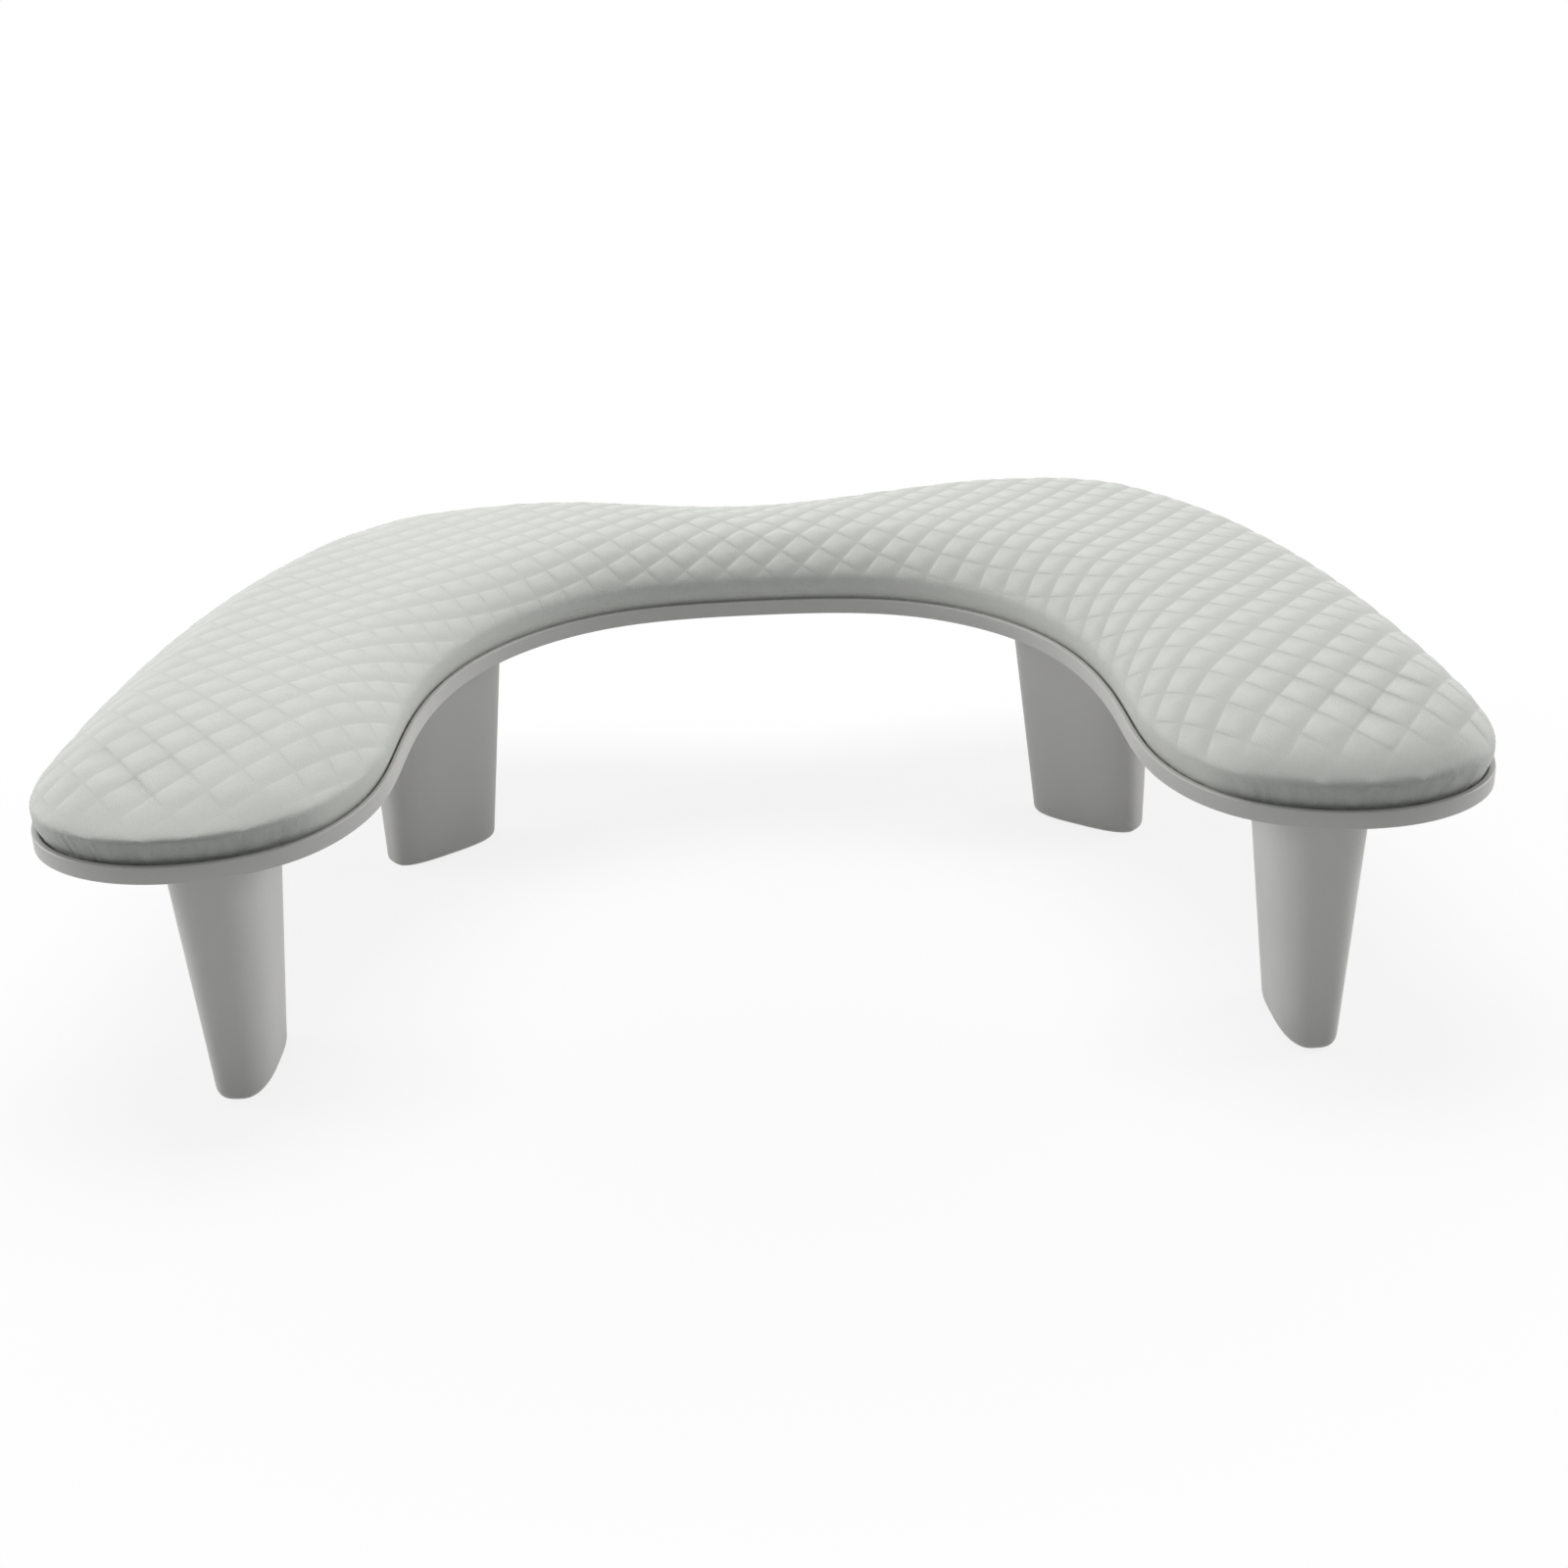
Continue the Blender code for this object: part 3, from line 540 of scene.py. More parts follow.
def shade_smooth(angle=SHARP_ANGLE):
    bpy.ops.object.shade_smooth_by_angle(angle=radians(angle))


def finish_piece(piece, name, material, slot, *nodes):
    """Names a piece, fixes its place in its mesh, dresses it and lets it stand for CAD nodes."""
    select_only(piece)
    bpy.ops.object.transform_apply(location=True, rotation=True, scale=True)
    piece.name = name
    piece.data.materials.clear()
    piece.data.materials.append(material)
    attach(piece, "root")
    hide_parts(*nodes)
    return piece


# Cushion


def smooth_share(value):
    """A smooth step from 0 to 1."""
    clipped = np.clip(value, 0, 1)
    return clipped * clipped * (3 - 2 * clipped)


def tip_share(place, inward):
    """Where the rim faces forward at the ends of the arms: 1 there and 0 elsewhere."""
    forward = smooth_share((BAND_START_Y - place[:, 1]) / BAND_SPAN_Y)
    return forward * smooth_share((inward[:, 1] - BAND_FACING) / BAND_FACING_SPAN)


def crown_height(x, y, share, tip):
    """Height of the cushion's top above the lip; share goes from 0 at the side to 1 on the plateau."""
    power = CROWN_POWER + (CREASE_POWER - CROWN_POWER) * tip
    round_over = (1 - (1 - np.clip(share, 0, 1)) ** power) ** (1 / power)
    to_tip = np.clip((CREST_Y - y) / (CREST_Y - FRONT_Y), 0, 1)
    to_back = np.clip((y - CREST_Y) / (BACK_Y - CREST_Y), 0, 1)
    fullness = (1 - TIP_DROP * to_tip**2) * (1 - BACK_DROP * to_back)
    left_flank = np.clip((-x - FLANK_START) / FLANK_SPAN, 0, 1)
    right_flank = np.clip((x - FLANK_START) / FLANK_SPAN, 0, 1)
    lean = RIGHT_FILL * right_flank - LEFT_SAG * left_flank
    return SIDE_TOP + round_over * ((CROWN_TOP - SIDE_TOP) * fullness + lean)


def section_table():
    """Inset and height along the cushion's section, against the length of cover from its tucked edge."""
    share = np.linspace(0, 1, SECTION_STEPS)[1:] ** SECTION_CROWDING
    round_over = (1 - (1 - share) ** CROWN_POWER) ** (1 / CROWN_POWER)
    inset = np.concatenate([[p[0] for p in SIDE_PROFILE], SIDE_PROFILE[-1][0] + share * CROWN_REACH])
    height = np.concatenate([[p[1] for p in SIDE_PROFILE], SIDE_TOP + round_over * (CROWN_TOP - SIDE_TOP)])
    run = np.concatenate([[0], np.cumsum(np.hypot(np.diff(inset), np.diff(height)))])
    return run, inset, height


def cloth_place(p, q):
    """Where a crossing of the diamonds' lines lies on the flat cover."""
    across, along = (p + q) / 2 - FACET_SHIFT, (p - q) / 2
    bow = (across - ROW_MIDDLE) ** 2
    u = CELLS_MIDDLE + across * (CELL_WIDTH - CELL_WIDENING * along)
    growth = CELL_LENGTHENING * along**2 + TIP_LENGTHENING * along**3
    return u, ROWS_START + along * (CELL_LENGTH + ROW_FAN * bow) + growth + ROW_BOW * bow


def emboss(p, q):
    """Height of the embossing: a cell rises steeply at its left corner and slopes off to its right."""
    in_p, in_q = p - np.floor(p), q - np.floor(q)
    rise_p = smooth_share(in_p / STEEP_SHARE) * smooth_share((1 - in_p) / (2 * STEEP_SHARE))
    rise_q = smooth_share(in_q / STEEP_SHARE) * smooth_share((1 - in_q) / SLOPE_SHARE)
    return FACET_RISE * (rise_p * rise_q - 0.5)


def pleats(along, band):
    """How far small upright pleats pull the tucked band in."""
    slow_turn = 2 * pi * SLOW_PLEATS_AROUND * along
    wave = np.sin(2 * pi * PLEATS_AROUND * along + PLEAT_DRIFT * np.sin(slow_turn))
    return PLEAT_DEPTH * band * (wave + SLOW_PLEAT_SHARE * np.sin(slow_turn + 1.0))


def even_meeting(laid, flat, spot, height, along, depth):
    """Evens the sheet where its two sides meet along the middle of the rest, so that it can't fold."""
    values = np.zeros((*laid.shape, 5))
    values[laid] = np.column_stack([spot - flat, height, along, depth])
    field, way = values[..., :3], values[..., 3]
    meeting = np.zeros(laid.shape, bool)
    for axis in (0, 1):
        step = np.abs(np.roll(way, -1, axis) - way)
        jump = (step > MEETING_JUMP) & (step < 1 - MEETING_JUMP) & (values[..., 4] > MEETING_DEPTH)
        meeting |= jump | np.roll(jump, 1, axis)
    for _ in range(MEETING_LINES):
        for axis in (0, 1):
            meeting |= np.roll(meeting, 1, axis) | np.roll(meeting, -1, axis)
    meeting &= values[..., 4] > MEETING_DEPTH
    for _ in range(MEETING_ROUNDS):
        around = sum(np.roll(field, side, axis) for axis in (0, 1) for side in (1, -1)) / 4
        field = np.where(meeting[..., None], around, field)
    return flat + field[laid][:, :2], field[laid][:, 2]


def flat_lattice():
    """The cover laid flat: which crossings of its fine mesh exist, their places and line numbers."""
    lines = np.concatenate([n + np.array(CELL_LINES) for n in range(-LINES_EACH_WAY, LINES_EACH_WAY)])
    p, q = np.meshgrid(lines, lines, indexing="ij")
    u, v = cloth_place(p, q)
    laid = (np.abs(u) < FLAT_REACH[0]) & (np.abs(v) < FLAT_REACH[1])
    return laid, np.column_stack([u[laid], v[laid]]), np.column_stack([p[laid], q[laid]])


def lay_over_crown(laid, flat):
    """Lays the flat cover over the crown: its points, their measure around and up, what is kept, masks."""
    run, inset_at, height_at = section_table()
    side_inset = SIDE_PROFILE[-1][0]
    side_run = run[len(SIDE_PROFILE) - 1]
    hang = run[-1] - (side_inset + CROWN_REACH)
    place, normal, depth, along = nearest_on_outline(flat)
    kept = depth + hang > 0
    covered = np.clip(depth + hang, 0, None)
    tip = tip_share(place, normal)
    inset = np.where(covered >= run[-1], depth, np.interp(covered, run, inset_at))
    from_edge = place + normal * inset[:, None]
    from_flat = flat + normal * (inset - depth)[:, None]
    spot = from_edge + (from_flat - from_edge) * smooth_share(depth / SIDE_BLEND)[:, None]
    crown = crown_height(spot[:, 0], spot[:, 1], (inset - side_inset) / CROWN_REACH, tip)
    height = np.where(covered < side_run, np.interp(covered, run, height_at), crown)
    spot, height = even_meeting(laid, flat, spot, height, along, depth)
    band = tip * smooth_share((SIDE_TOP - height) / BAND_EDGE)
    below_crease = tip * np.clip(1 - height / SIDE_TOP, 0, 1)
    at_crease = tip * smooth_share(1 - np.abs(height - SIDE_TOP) / CREASE_PUSH_SPAN)
    tucked = BAND_TUCK * below_crease
    tucked += pleats(along, band * smooth_share((height + PLEATS_LOW) / PLEATS_SPAN))
    tucked -= CREASE_PUSH * at_crease
    spot = spot + normal * tucked[:, None]
    relief_start = RELIEF_START + TIP_RELIEF_START * tip
    relief_span = RELIEF_SPAN + TIP_RELIEF_SPAN * tip
    relief = smooth_share((covered - relief_start) / relief_span)
    relief *= 1 - LEFT_FLATNESS * smooth_share((LEFT_FLAT_START - spot[:, 0]) / LEFT_FLAT_SPAN)
    # Painted shade on the arm tips' forward faces, fading out above the crease
    tip_front_shade = tip * (1 - smooth_share((covered - side_run) / TIP_FRONT_FADE_SPAN))
    masks = {"relief": relief, "band": band, "tip_front_shade": tip_front_shade}
    return np.column_stack([spot, LIP_TOP + height]), np.column_stack([along, covered]), kept, masks


def sheet_quads(laid, kept):
    """The cover's quads, as numbers of crossings, where at least one corner lies on the cover."""
    number = -np.ones(laid.shape, int)
    number[laid] = np.arange(laid.sum())
    corners = (number[:-1, :-1], number[1:, :-1], number[1:, 1:], number[:-1, 1:])
    quads = np.column_stack([corner.ravel() for corner in corners])
    quads = quads[(quads >= 0).all(1)]
    return quads[kept[quads].any(1)]


def make_cover(material):
    """The cover laid over the crown as a sheet whose mesh follows its own diamonds."""
    laid, flat, diamonds = flat_lattice()
    points, around, kept, masks = lay_over_crown(laid, flat)
    quads = sheet_quads(laid, kept)
    used = np.unique(quads)
    renumber = np.zeros(len(flat), int)
    renumber[used] = np.arange(len(used))
    mesh = bpy.data.meshes.new("cushion_cover")
    mesh.from_pydata(points[used].tolist(), [], renumber[quads].tolist())
    mesh.update()
    cover = bpy.data.objects.new("cushion_cover", mesh)
    bpy.context.scene.collection.objects.link(cover)
    corner_points = np.zeros(len(mesh.loops), int)
    mesh.loops.foreach_get("vertex_index", corner_points)
    for name, spread in (("cloth", flat), ("diamonds", diamonds), ("around", around)):
        layer = mesh.uv_layers.new(name=name)
        layer.data.foreach_set("uv", spread[used][corner_points].ravel().astype(np.float32))
    for name, value in masks.items():
        attribute = mesh.attributes.new(name, "FLOAT", "POINT")
        attribute.data.foreach_set("value", value[used].astype(np.float32))
    close_base(cover)
    press_out(cover)
    relief = emboss(diamonds[:, 0], diamonds[:, 1]) * masks["relief"]
    lift_embossing(cover, relief[used])
    mesh.shade_smooth()
    finish_piece(cover, "cushion_cover", material, "cover", "cover", "foam")
    return cover


def close_base(cover):
    """Closes the cover's tucked edge with a flat base."""
    mesh = bmesh.new()
    mesh.from_mesh(cover.data)
    rim = [line for line in mesh.edges if line.is_boundary]
    bmesh.ops.edgeloop_fill(mesh, edges=rim)
    bmesh.ops.recalc_face_normals(mesh, faces=mesh.faces)
    mesh.to_mesh(cover.data)
    mesh.free()


def read_points(mesh, kind="co"):
    """A mesh's point places or normals as rows of three."""
    values = np.zeros(len(mesh.vertices) * 3)
    mesh.vertices.foreach_get(kind, values)
    return values.reshape(-1, 3)


def press_out(cover):
    """Lets the filling press a coarse copy of the cover out as cloth, and carries its unevenness over."""
    scene = bpy.context.scene
    stand_in = bpy.data.objects.new("pressed_cover", cover.data.copy())
    scene.collection.objects.link(stand_in)
    apply_modifier(stand_in, "REMESH", mode="VOXEL", voxel_size=VOXEL)
    before = read_points(stand_in.data)
    outward = read_points(stand_in.data, "normal")
    held = stand_in.vertex_groups.new(name="held")
    held.add([k for k, spot in enumerate(before) if spot[2] < LIP_TOP + HELD_HEIGHT], 1.0, "REPLACE")
    select_only(stand_in)
    cloth = stand_in.modifiers.new("cloth", "CLOTH")
    cloth.settings.use_pressure = True
    cloth.settings.uniform_pressure_force = PRESSURE
    cloth.settings.vertex_group_mass = "held"
    cloth.settings.effector_weights.gravity = 0
    for moment in range(1, CLOTH_FRAMES + 1):
        scene.frame_set(moment)
    bpy.ops.object.modifier_apply(modifier=cloth.name)
    scene.frame_set(1)
    moved = read_points(stand_in.data) - before
    free = before[:, 2] > LIP_TOP + SIDE_TOP
    swell = (moved * outward).sum(1)
    moved -= outward * (np.where(free, swell[free].mean(), 0))[:, None]
    length = np.linalg.norm(moved, axis=1)
    moved *= np.minimum(1, MOST_SWELL / np.maximum(length, TINY))[:, None]
    moved *= smooth_share((before[:, 2] - LIP_TOP - HELD_HEIGHT) / SIDE_TOP)[:, None]
    spots = KDTree(len(before))
    for k, spot in enumerate(before):
        spots.insert(spot, k)
    spots.balance()
    points = read_points(cover.data)
    shift = np.zeros_like(points)
    for k, spot in enumerate(points):
        near = spots.find_n(spot, SPREAD_OVER)
        weight = np.array([1 / (gap + VOXEL) ** 2 for _, _, gap in near])
        shift[k] = weight @ moved[[index for _, index, _ in near]] / weight.sum()
    cover.data.vertices.foreach_set("co", (points + shift).ravel())
    cover.data.update()
    bpy.data.objects.remove(stand_in)


def lift_embossing(cover, relief):
    """Moves the cover's points along their normals by the embossing's height."""
    points, normals = read_points(cover.data), read_points(cover.data, "normal")
    points[: len(relief)] += normals[: len(relief)] * relief[:, None]
    cover.data.vertices.foreach_set("co", points.ravel())
    cover.data.update()


# Tray


def make_tray(material):
    """The tray: rim, lip, deck and skirt as one moulding, with ribs, leg collars and screw bosses below."""
    bpy.ops.mesh.primitive_circle_add(vertices=OUTLINE_STEPS, fill_type="NGON")
    tray = bpy.context.object
    for vert, (x, y) in zip(tray.data.vertices, OUTLINE):
        vert.co = (x, y, LIP_TOP)
    edit(tray)
    bpy.ops.mesh.select_all(action="SELECT")
    bpy.ops.mesh.normals_make_consistent(inside=False)
    bpy.ops.mesh.inset(thickness=LIP_WIDTH, depth=0.0)
    extrude(DECK_TOP - LIP_TOP)
    bpy.ops.mesh.select_mode(type="EDGE")
    bpy.ops.mesh.select_all(action="DESELECT")
    bpy.ops.mesh.select_non_manifold()
    extrude(SKIRT_BOTTOM - LIP_TOP)
    bpy.ops.mesh.edge_face_add()
    bpy.ops.mesh.select_mode(type="FACE")
    bpy.ops.mesh.inset(thickness=SKIRT_WALL, depth=0.0)
    extrude(DECK_UNDER - SKIRT_BOTTOM)
    face_outwards()
    round_edges(tray, EDGE_ROUND, segments=3)
    below = [add_rib(turn) for turn in RIB_TURNS]
    below += [add_collar(*leg[1:]) for leg in LEGS]
    below += [add_boss(side * x, y) for x, y in BOARD_SCREWS for side in (1, -1)]
    select_only(tray)
    for piece in below:
        piece.select_set(True)
    bpy.ops.object.join()
    shade_smooth()
    return finish_piece(tray, "tray_moulding", material, "shell", "tray")


def add_rib(turn):
    """A rib under the deck, on a ray from the bay's middle, rooted in the skirt at its ends."""
    way = np.array((cos(radians(turn)), sin(radians(turn))))
    reach = np.linspace(0, RIB_REACH, RIB_SAMPLES)
    depth = nearest_on_outline(np.array(RIB_CENTRE) + reach[:, None] * way)[2]
    held = reach[depth > SKIRT_WALL / 2]
    middle = np.array(RIB_CENTRE) + way * (held[0] + held[-1]) / 2
    low, high = SKIRT_BOTTOM + RIB_RECESS, DECK_UNDER + ROOTED
    bpy.ops.mesh.primitive_cube_add(
        size=1.0,
        location=(*middle, (low + high) / 2),
        rotation=(0.0, 0.0, radians(turn)),
        scale=(held[-1] - held[0], RIB_THICKNESS, high - low),
    )
    rib = bpy.context.object
    bpy.ops.object.transform_apply(location=True, rotation=True, scale=True)
    round_edges(rib, SMALL_EDGE)
    return rib


def add_collar(x, y, turn):
    """A collar under the deck that the leg's top sits in."""
    outset = 2 * (COLLAR_WALL + CLEARANCE)
    low = SKIRT_BOTTOM + RIB_RECESS
    collar = add_oval(TOP_LENGTH + outset, TOP_WIDTH + outset, low)
    edit(collar)
    bpy.ops.mesh.select_all(action="SELECT")
    extrude(DECK_UNDER + ROOTED - low)
    bpy.ops.mesh.select_all(action="SELECT")
    bpy.ops.transform.translate(value=(-LEG_LEAN, 0.0, 0.0))
    face_outwards()
    pick(collar, faces_down)
    bpy.ops.mesh.inset(thickness=COLLAR_WALL, depth=0.0)
    extrude(DECK_UNDER - low)
    bpy.ops.object.mode_set(mode="OBJECT")
    collar.location = (x, y, 0)
    collar.rotation_euler = (0, 0, radians(turn))
    bpy.ops.object.transform_apply(location=True, rotation=True, scale=True)
    round_edges(collar, SMALL_EDGE)
    return collar


def add_boss(x, y):
    """A low round boss with a sunk seat for a board screw's head."""
    low, high = DECK_UNDER - BOSS_DEPTH, DECK_UNDER + ROOTED
    bpy.ops.mesh.primitive_cylinder_add(
        vertices=BOSS_STEPS, radius=BOSS_RADIUS, depth=high - low, location=(x, y, (low + high) / 2)
    )
    boss = bpy.context.object
    bpy.ops.object.transform_apply(location=True, rotation=True, scale=True)
    pick(boss, faces_down)
    bpy.ops.mesh.inset(thickness=BOSS_RADIUS - SEAT_RADIUS, depth=0.0)
    extrude(BOSS_DEPTH)
    bpy.ops.object.mode_set(mode="OBJECT")
    round_edges(boss, BOSS_EDGE)
    return boss


# Legs and foot pads


def oval_spot(turn, length, width):
    """A place on a rounded oval, fuller than an ellipse."""
    x = abs(cos(turn)) ** (2 / OVAL_POWER) * length / 2
    y = abs(sin(turn)) ** (2 / OVAL_POWER) * width / 2
    return (x if cos(turn) > 0 else -x), (y if sin(turn) > 0 else -y)


def add_oval(length, width, height):
    """A flat oval, its long axis along X."""
    bpy.ops.mesh.primitive_circle_add(vertices=OVAL_STEPS, fill_type="NGON")
    oval = bpy.context.object
    for k, vert in enumerate(oval.data.vertices):
        x, y = oval_spot(2 * pi * (k + 0.5) / OVAL_STEPS, length, width)
        vert.co = (x, y, height)
    return oval


def make_leg(name, x, y, turn, material):
    """A tapered oval leg with a rounded foot and a recess for its pad."""
    leg = add_oval(FOOT_LENGTH, FOOT_WIDTH, PAD_PROUD)
    top = DECK_UNDER - CLEARANCE
    edit(leg)
    bpy.ops.mesh.select_all(action="SELECT")
    extrude(top - PAD_PROUD)
    bpy.ops.transform.resize(value=(TOP_LENGTH / FOOT_LENGTH, TOP_WIDTH / FOOT_WIDTH, 1.0))
    bpy.ops.transform.translate(value=(-LEG_LEAN, 0.0, 0.0))
    face_outwards()
    low = PAD_PROUD + EDGE_PICK
    pick(leg, lambda a, b: a.z < low and b.z < low, "EDGE")
    bpy.ops.mesh.bevel(offset=FOOT_ROUND, segments=6, profile=0.5, affect="EDGES")
    bpy.ops.object.mode_set(mode="OBJECT")
    pick(leg, lambda middle, normal: middle.z < low and faces_down(middle, normal))
    bpy.ops.mesh.inset(thickness=PAD_INSET - FOOT_ROUND, depth=0.0)
    extrude(PAD_THICKNESS - PAD_PROUD + CLEARANCE)
    bpy.ops.object.mode_set(mode="OBJECT")
    leg.location = (x, y, 0)
    leg.rotation_euler = (0, 0, radians(turn))
    select_only(leg)
    shade_smooth()
    return finish_piece(leg, "leg_" + name + "_moulding", material, "shell", "leg_" + name)


def make_foot_pad(name, x, y, turn, material):
    """A thin anti-slip pad let into the foot, a little proud of it."""
    small = 2 * (PAD_INSET + CLEARANCE)
    pad = add_oval(FOOT_LENGTH - small, FOOT_WIDTH - small, 0.0)
    edit(pad)
    bpy.ops.mesh.select_all(action="SELECT")
    extrude(PAD_THICKNESS)
    face_outwards()
    round_edges(pad, SMALL_EDGE, segments=3)
    pad.location = (x, y, 0)
    pad.rotation_euler = (0, 0, radians(turn))
    shade_smooth()
    return finish_piece(pad, "foot_pad_" + name + "_rubber", material, "foot_pad", "foot_pad_" + name)


# Screws of the board


def model_screw():
    """A pan-head screw that points up: its head with a cross recess below height 0, its shank above."""
    bpy.ops.mesh.primitive_cylinder_add(
        vertices=SCREW_STEPS, radius=HEAD_RADIUS, depth=HEAD_HEIGHT, location=(0, 0, -HEAD_HEIGHT / 2)
    )
    screw = bpy.context.object
    bpy.ops.object.transform_apply(location=True, rotation=True, scale=True)
    pick(screw, lambda middle, normal: normal.z > FLAT_FACING)
    bpy.ops.mesh.inset(thickness=HEAD_RADIUS - SHANK_RADIUS, depth=0.0)
    extrude(SHANK_LENGTH)
    extrude(TIP_LENGTH)
    bpy.ops.transform.resize(value=(TIP_SHARE, TIP_SHARE, 1.0))
    bpy.ops.object.mode_set(mode="OBJECT")
    edge = -HEAD_HEIGHT + EDGE_PICK
    pick(screw, lambda a, b: a.z < edge and b.z < edge, "EDGE")
    bpy.ops.mesh.bevel(offset=HEAD_HEIGHT * HEAD_ROUND_SHARE, segments=5, profile=0.5, affect="EDGES")
    bpy.ops.object.mode_set(mode="OBJECT")
    for turn in (0, pi / 2):
        bpy.ops.mesh.primitive_cube_add(
            size=1.0,
            location=(0, 0, -HEAD_HEIGHT),
            rotation=(0, 0, turn),
            scale=(RECESS_ARM, RECESS_WIDTH, 2 * RECESS_DEPTH),
        )
        cutter = bpy.context.object
        apply_modifier(screw, "BOOLEAN", object=cutter, operation="DIFFERENCE", solver="EXACT")
        bpy.data.objects.remove(cutter)
    select_only(screw)
    shade_smooth(SCREW_SHARP_ANGLE)
    return screw


def place_board_screws(material):
    """Copies the screw to its six seats, in the order of the CAD nodes, each at its own turn."""
    pattern = model_screw()
    spots = [(side * x, y) for x, y in BOARD_SCREWS for side in (1, -1)]
    for k, (x, y) in enumerate(spots, 1):
        screw = bpy.data.objects.new("screw", pattern.data.copy())
        bpy.context.scene.collection.objects.link(screw)
        screw.location = (x, y, DECK_UNDER - CLEARANCE)
        screw.rotation_euler = (0, 0, radians(SCREW_TURN * k))
        finish_piece(screw, f"board_screw_{k}_steel", material, "screw", f"board_screw_{k}")
    bpy.data.objects.remove(pattern)


# Materials: shared effects as node groups


def new_group(name, wanted, given):
    """An empty node group with named inputs and outputs."""
    group = bpy.data.node_groups.new(name, "ShaderNodeTree")
    for label, kind, value in wanted:
        socket = group.interface.new_socket(name=label, in_out="INPUT", socket_type="NodeSocket" + kind)
        if value is not None:
            socket.default_value = value
    for label in given:
        group.interface.new_socket(name=label, in_out="OUTPUT", socket_type="NodeSocketFloat")
    return group, group.nodes.new("NodeGroupInput"), group.nodes.new("NodeGroupOutput")


def noise(tree, place, scale, detail=3.0, roughness=0.55):
    node = tree.nodes.new("ShaderNodeTexNoise")
    tree.links.new(place, node.inputs["Vector"])
    for label, value in (("Scale", scale), ("Detail", detail), ("Roughness", roughness)):
        if isinstance(value, (int, float)):
            node.inputs[label].default_value = value
        else:
            tree.links.new(value, node.inputs[label])
    return node.outputs["Fac"]


def split(tree, vector):
    node = tree.nodes.new("ShaderNodeSeparateXYZ")
    tree.links.new(vector, node.inputs[0])
    return node.outputs


def stretch(tree, vector, scale):
    node = tree.nodes.new("ShaderNodeMapping")
    tree.links.new(vector, node.inputs["Vector"])
    node.inputs["Scale"].default_value = scale
    return node.outputs[0]


def weave_group():
    """Fine crossing threads: their height and their uneven tone."""
    taken = (("Cloth", "Vector", None), ("Threads per metre", "Float", THREADS_PER_METRE))
    group, wanted, given = new_group("fine_weave", taken, ("Height", "Tone"))
    x, y, _ = split(group, wanted.outputs["Cloth"])
    warp_turn = calculate(group, "MULTIPLY", wanted.outputs["Threads per metre"], 2 * pi)
    weft_turn = calculate(group, "MULTIPLY", warp_turn, WEFT_SHARE)
    warp = calculate(group, "SINE", calculate(group, "MULTIPLY", x, warp_turn))
    weft = calculate(group, "SINE", calculate(group, "MULTIPLY", y, weft_turn))
    knots = calculate(group, "MULTIPLY", warp, weft)
    threads = calculate(group, "ADD", share_of(group, warp, WARP_SHARE), knots)
    slub = noise(group, stretch(group, wanted.outputs["Cloth"], SLUB_STRETCH), SLUB_SCALE)
    height = calculate(group, "ADD", share_of(group, threads, THREAD_RELIEF), slub)
    tone = calculate(group, "MULTIPLY_ADD", threads, THREAD_RELIEF, MIDDLE_TONE, clamp=True)
    group.links.new(height, given.inputs["Height"])
    group.links.new(tone, given.inputs["Tone"])
    return group


def diamond_group():
    """Painted shade of the embossed diamonds: dark towards each cell's right side and along its lines."""
    group, wanted, given = new_group("diamond_shade", (("Lines", "Vector", None),), ("Shade",))
    p, q, _ = split(group, wanted.outputs["Lines"])
    in_p, in_q = calculate(group, "FRACT", p), calculate(group, "FRACT", q)
    slope = ramp(group, in_q, low=0.30, high=0.95)
    near_p = calculate(group, "MINIMUM", in_p, calculate(group, "SUBTRACT", 1.0, in_p))
    near_q = calculate(group, "MINIMUM", in_q, calculate(group, "SUBTRACT", 1.0, in_q))
    line_p = ramp(group, near_p, low=0.0, high=0.09, from_value=1.0, to_value=0.0)
    line_q = ramp(group, near_q, low=0.0, high=0.07, from_value=0.9, to_value=0.0)
    away = ramp(group, in_p, low=0.45, high=1.0, from_value=0.0, to_value=0.6)
    slopes = calculate(group, "MAXIMUM", slope, away)
    lines = calculate(group, "MAXIMUM", line_p, line_q)
    group.links.new(calculate(group, "MAXIMUM", slopes, lines), given.inputs["Shade"])
    return group


def handling_group():
    """Faint cloudy marks of use and settled dust, as two masks."""
    taken = (("Place", "Vector", None), ("Scale", "Float", 14.0))
    group, wanted, given = new_group("handling_marks", taken, ("Marks", "Dust"))
    place, scale = wanted.outputs["Place"], wanted.outputs["Scale"]
    clouds = noise(group, place, scale, detail=5.0, roughness=0.6)
    specks = noise(group, place, share_of(group, scale, DUST_FINENESS), detail=2.0)
    group.links.new(ramp(group, clouds, low=0.42, high=0.72), given.inputs["Marks"])
    group.links.new(ramp(group, specks, low=0.55, high=0.80), given.inputs["Dust"])
    return group


def grain_group():
    """Fine grain of a moulded or pressed surface: its height, and a slow mottle."""
    taken = (("Place", "Vector", None), ("Scale", "Float", 1400.0))
    group, wanted, given = new_group("surface_grain", taken, ("Height", "Mottle"))
    place, scale = wanted.outputs["Place"], wanted.outputs["Scale"]
    cells = group.nodes.new("ShaderNodeTexVoronoi")
    group.links.new(place, cells.inputs["Vector"])
    group.links.new(scale, cells.inputs["Scale"])
    fine = noise(group, place, scale, detail=2.0)
    mottle = noise(group, place, share_of(group, scale, MOTTLE_FINENESS), detail=4.0)
    group.links.new(calculate(group, "ADD", cells.outputs["Distance"], fine), given.inputs["Height"])
    group.links.new(mottle, given.inputs["Mottle"])
    return group


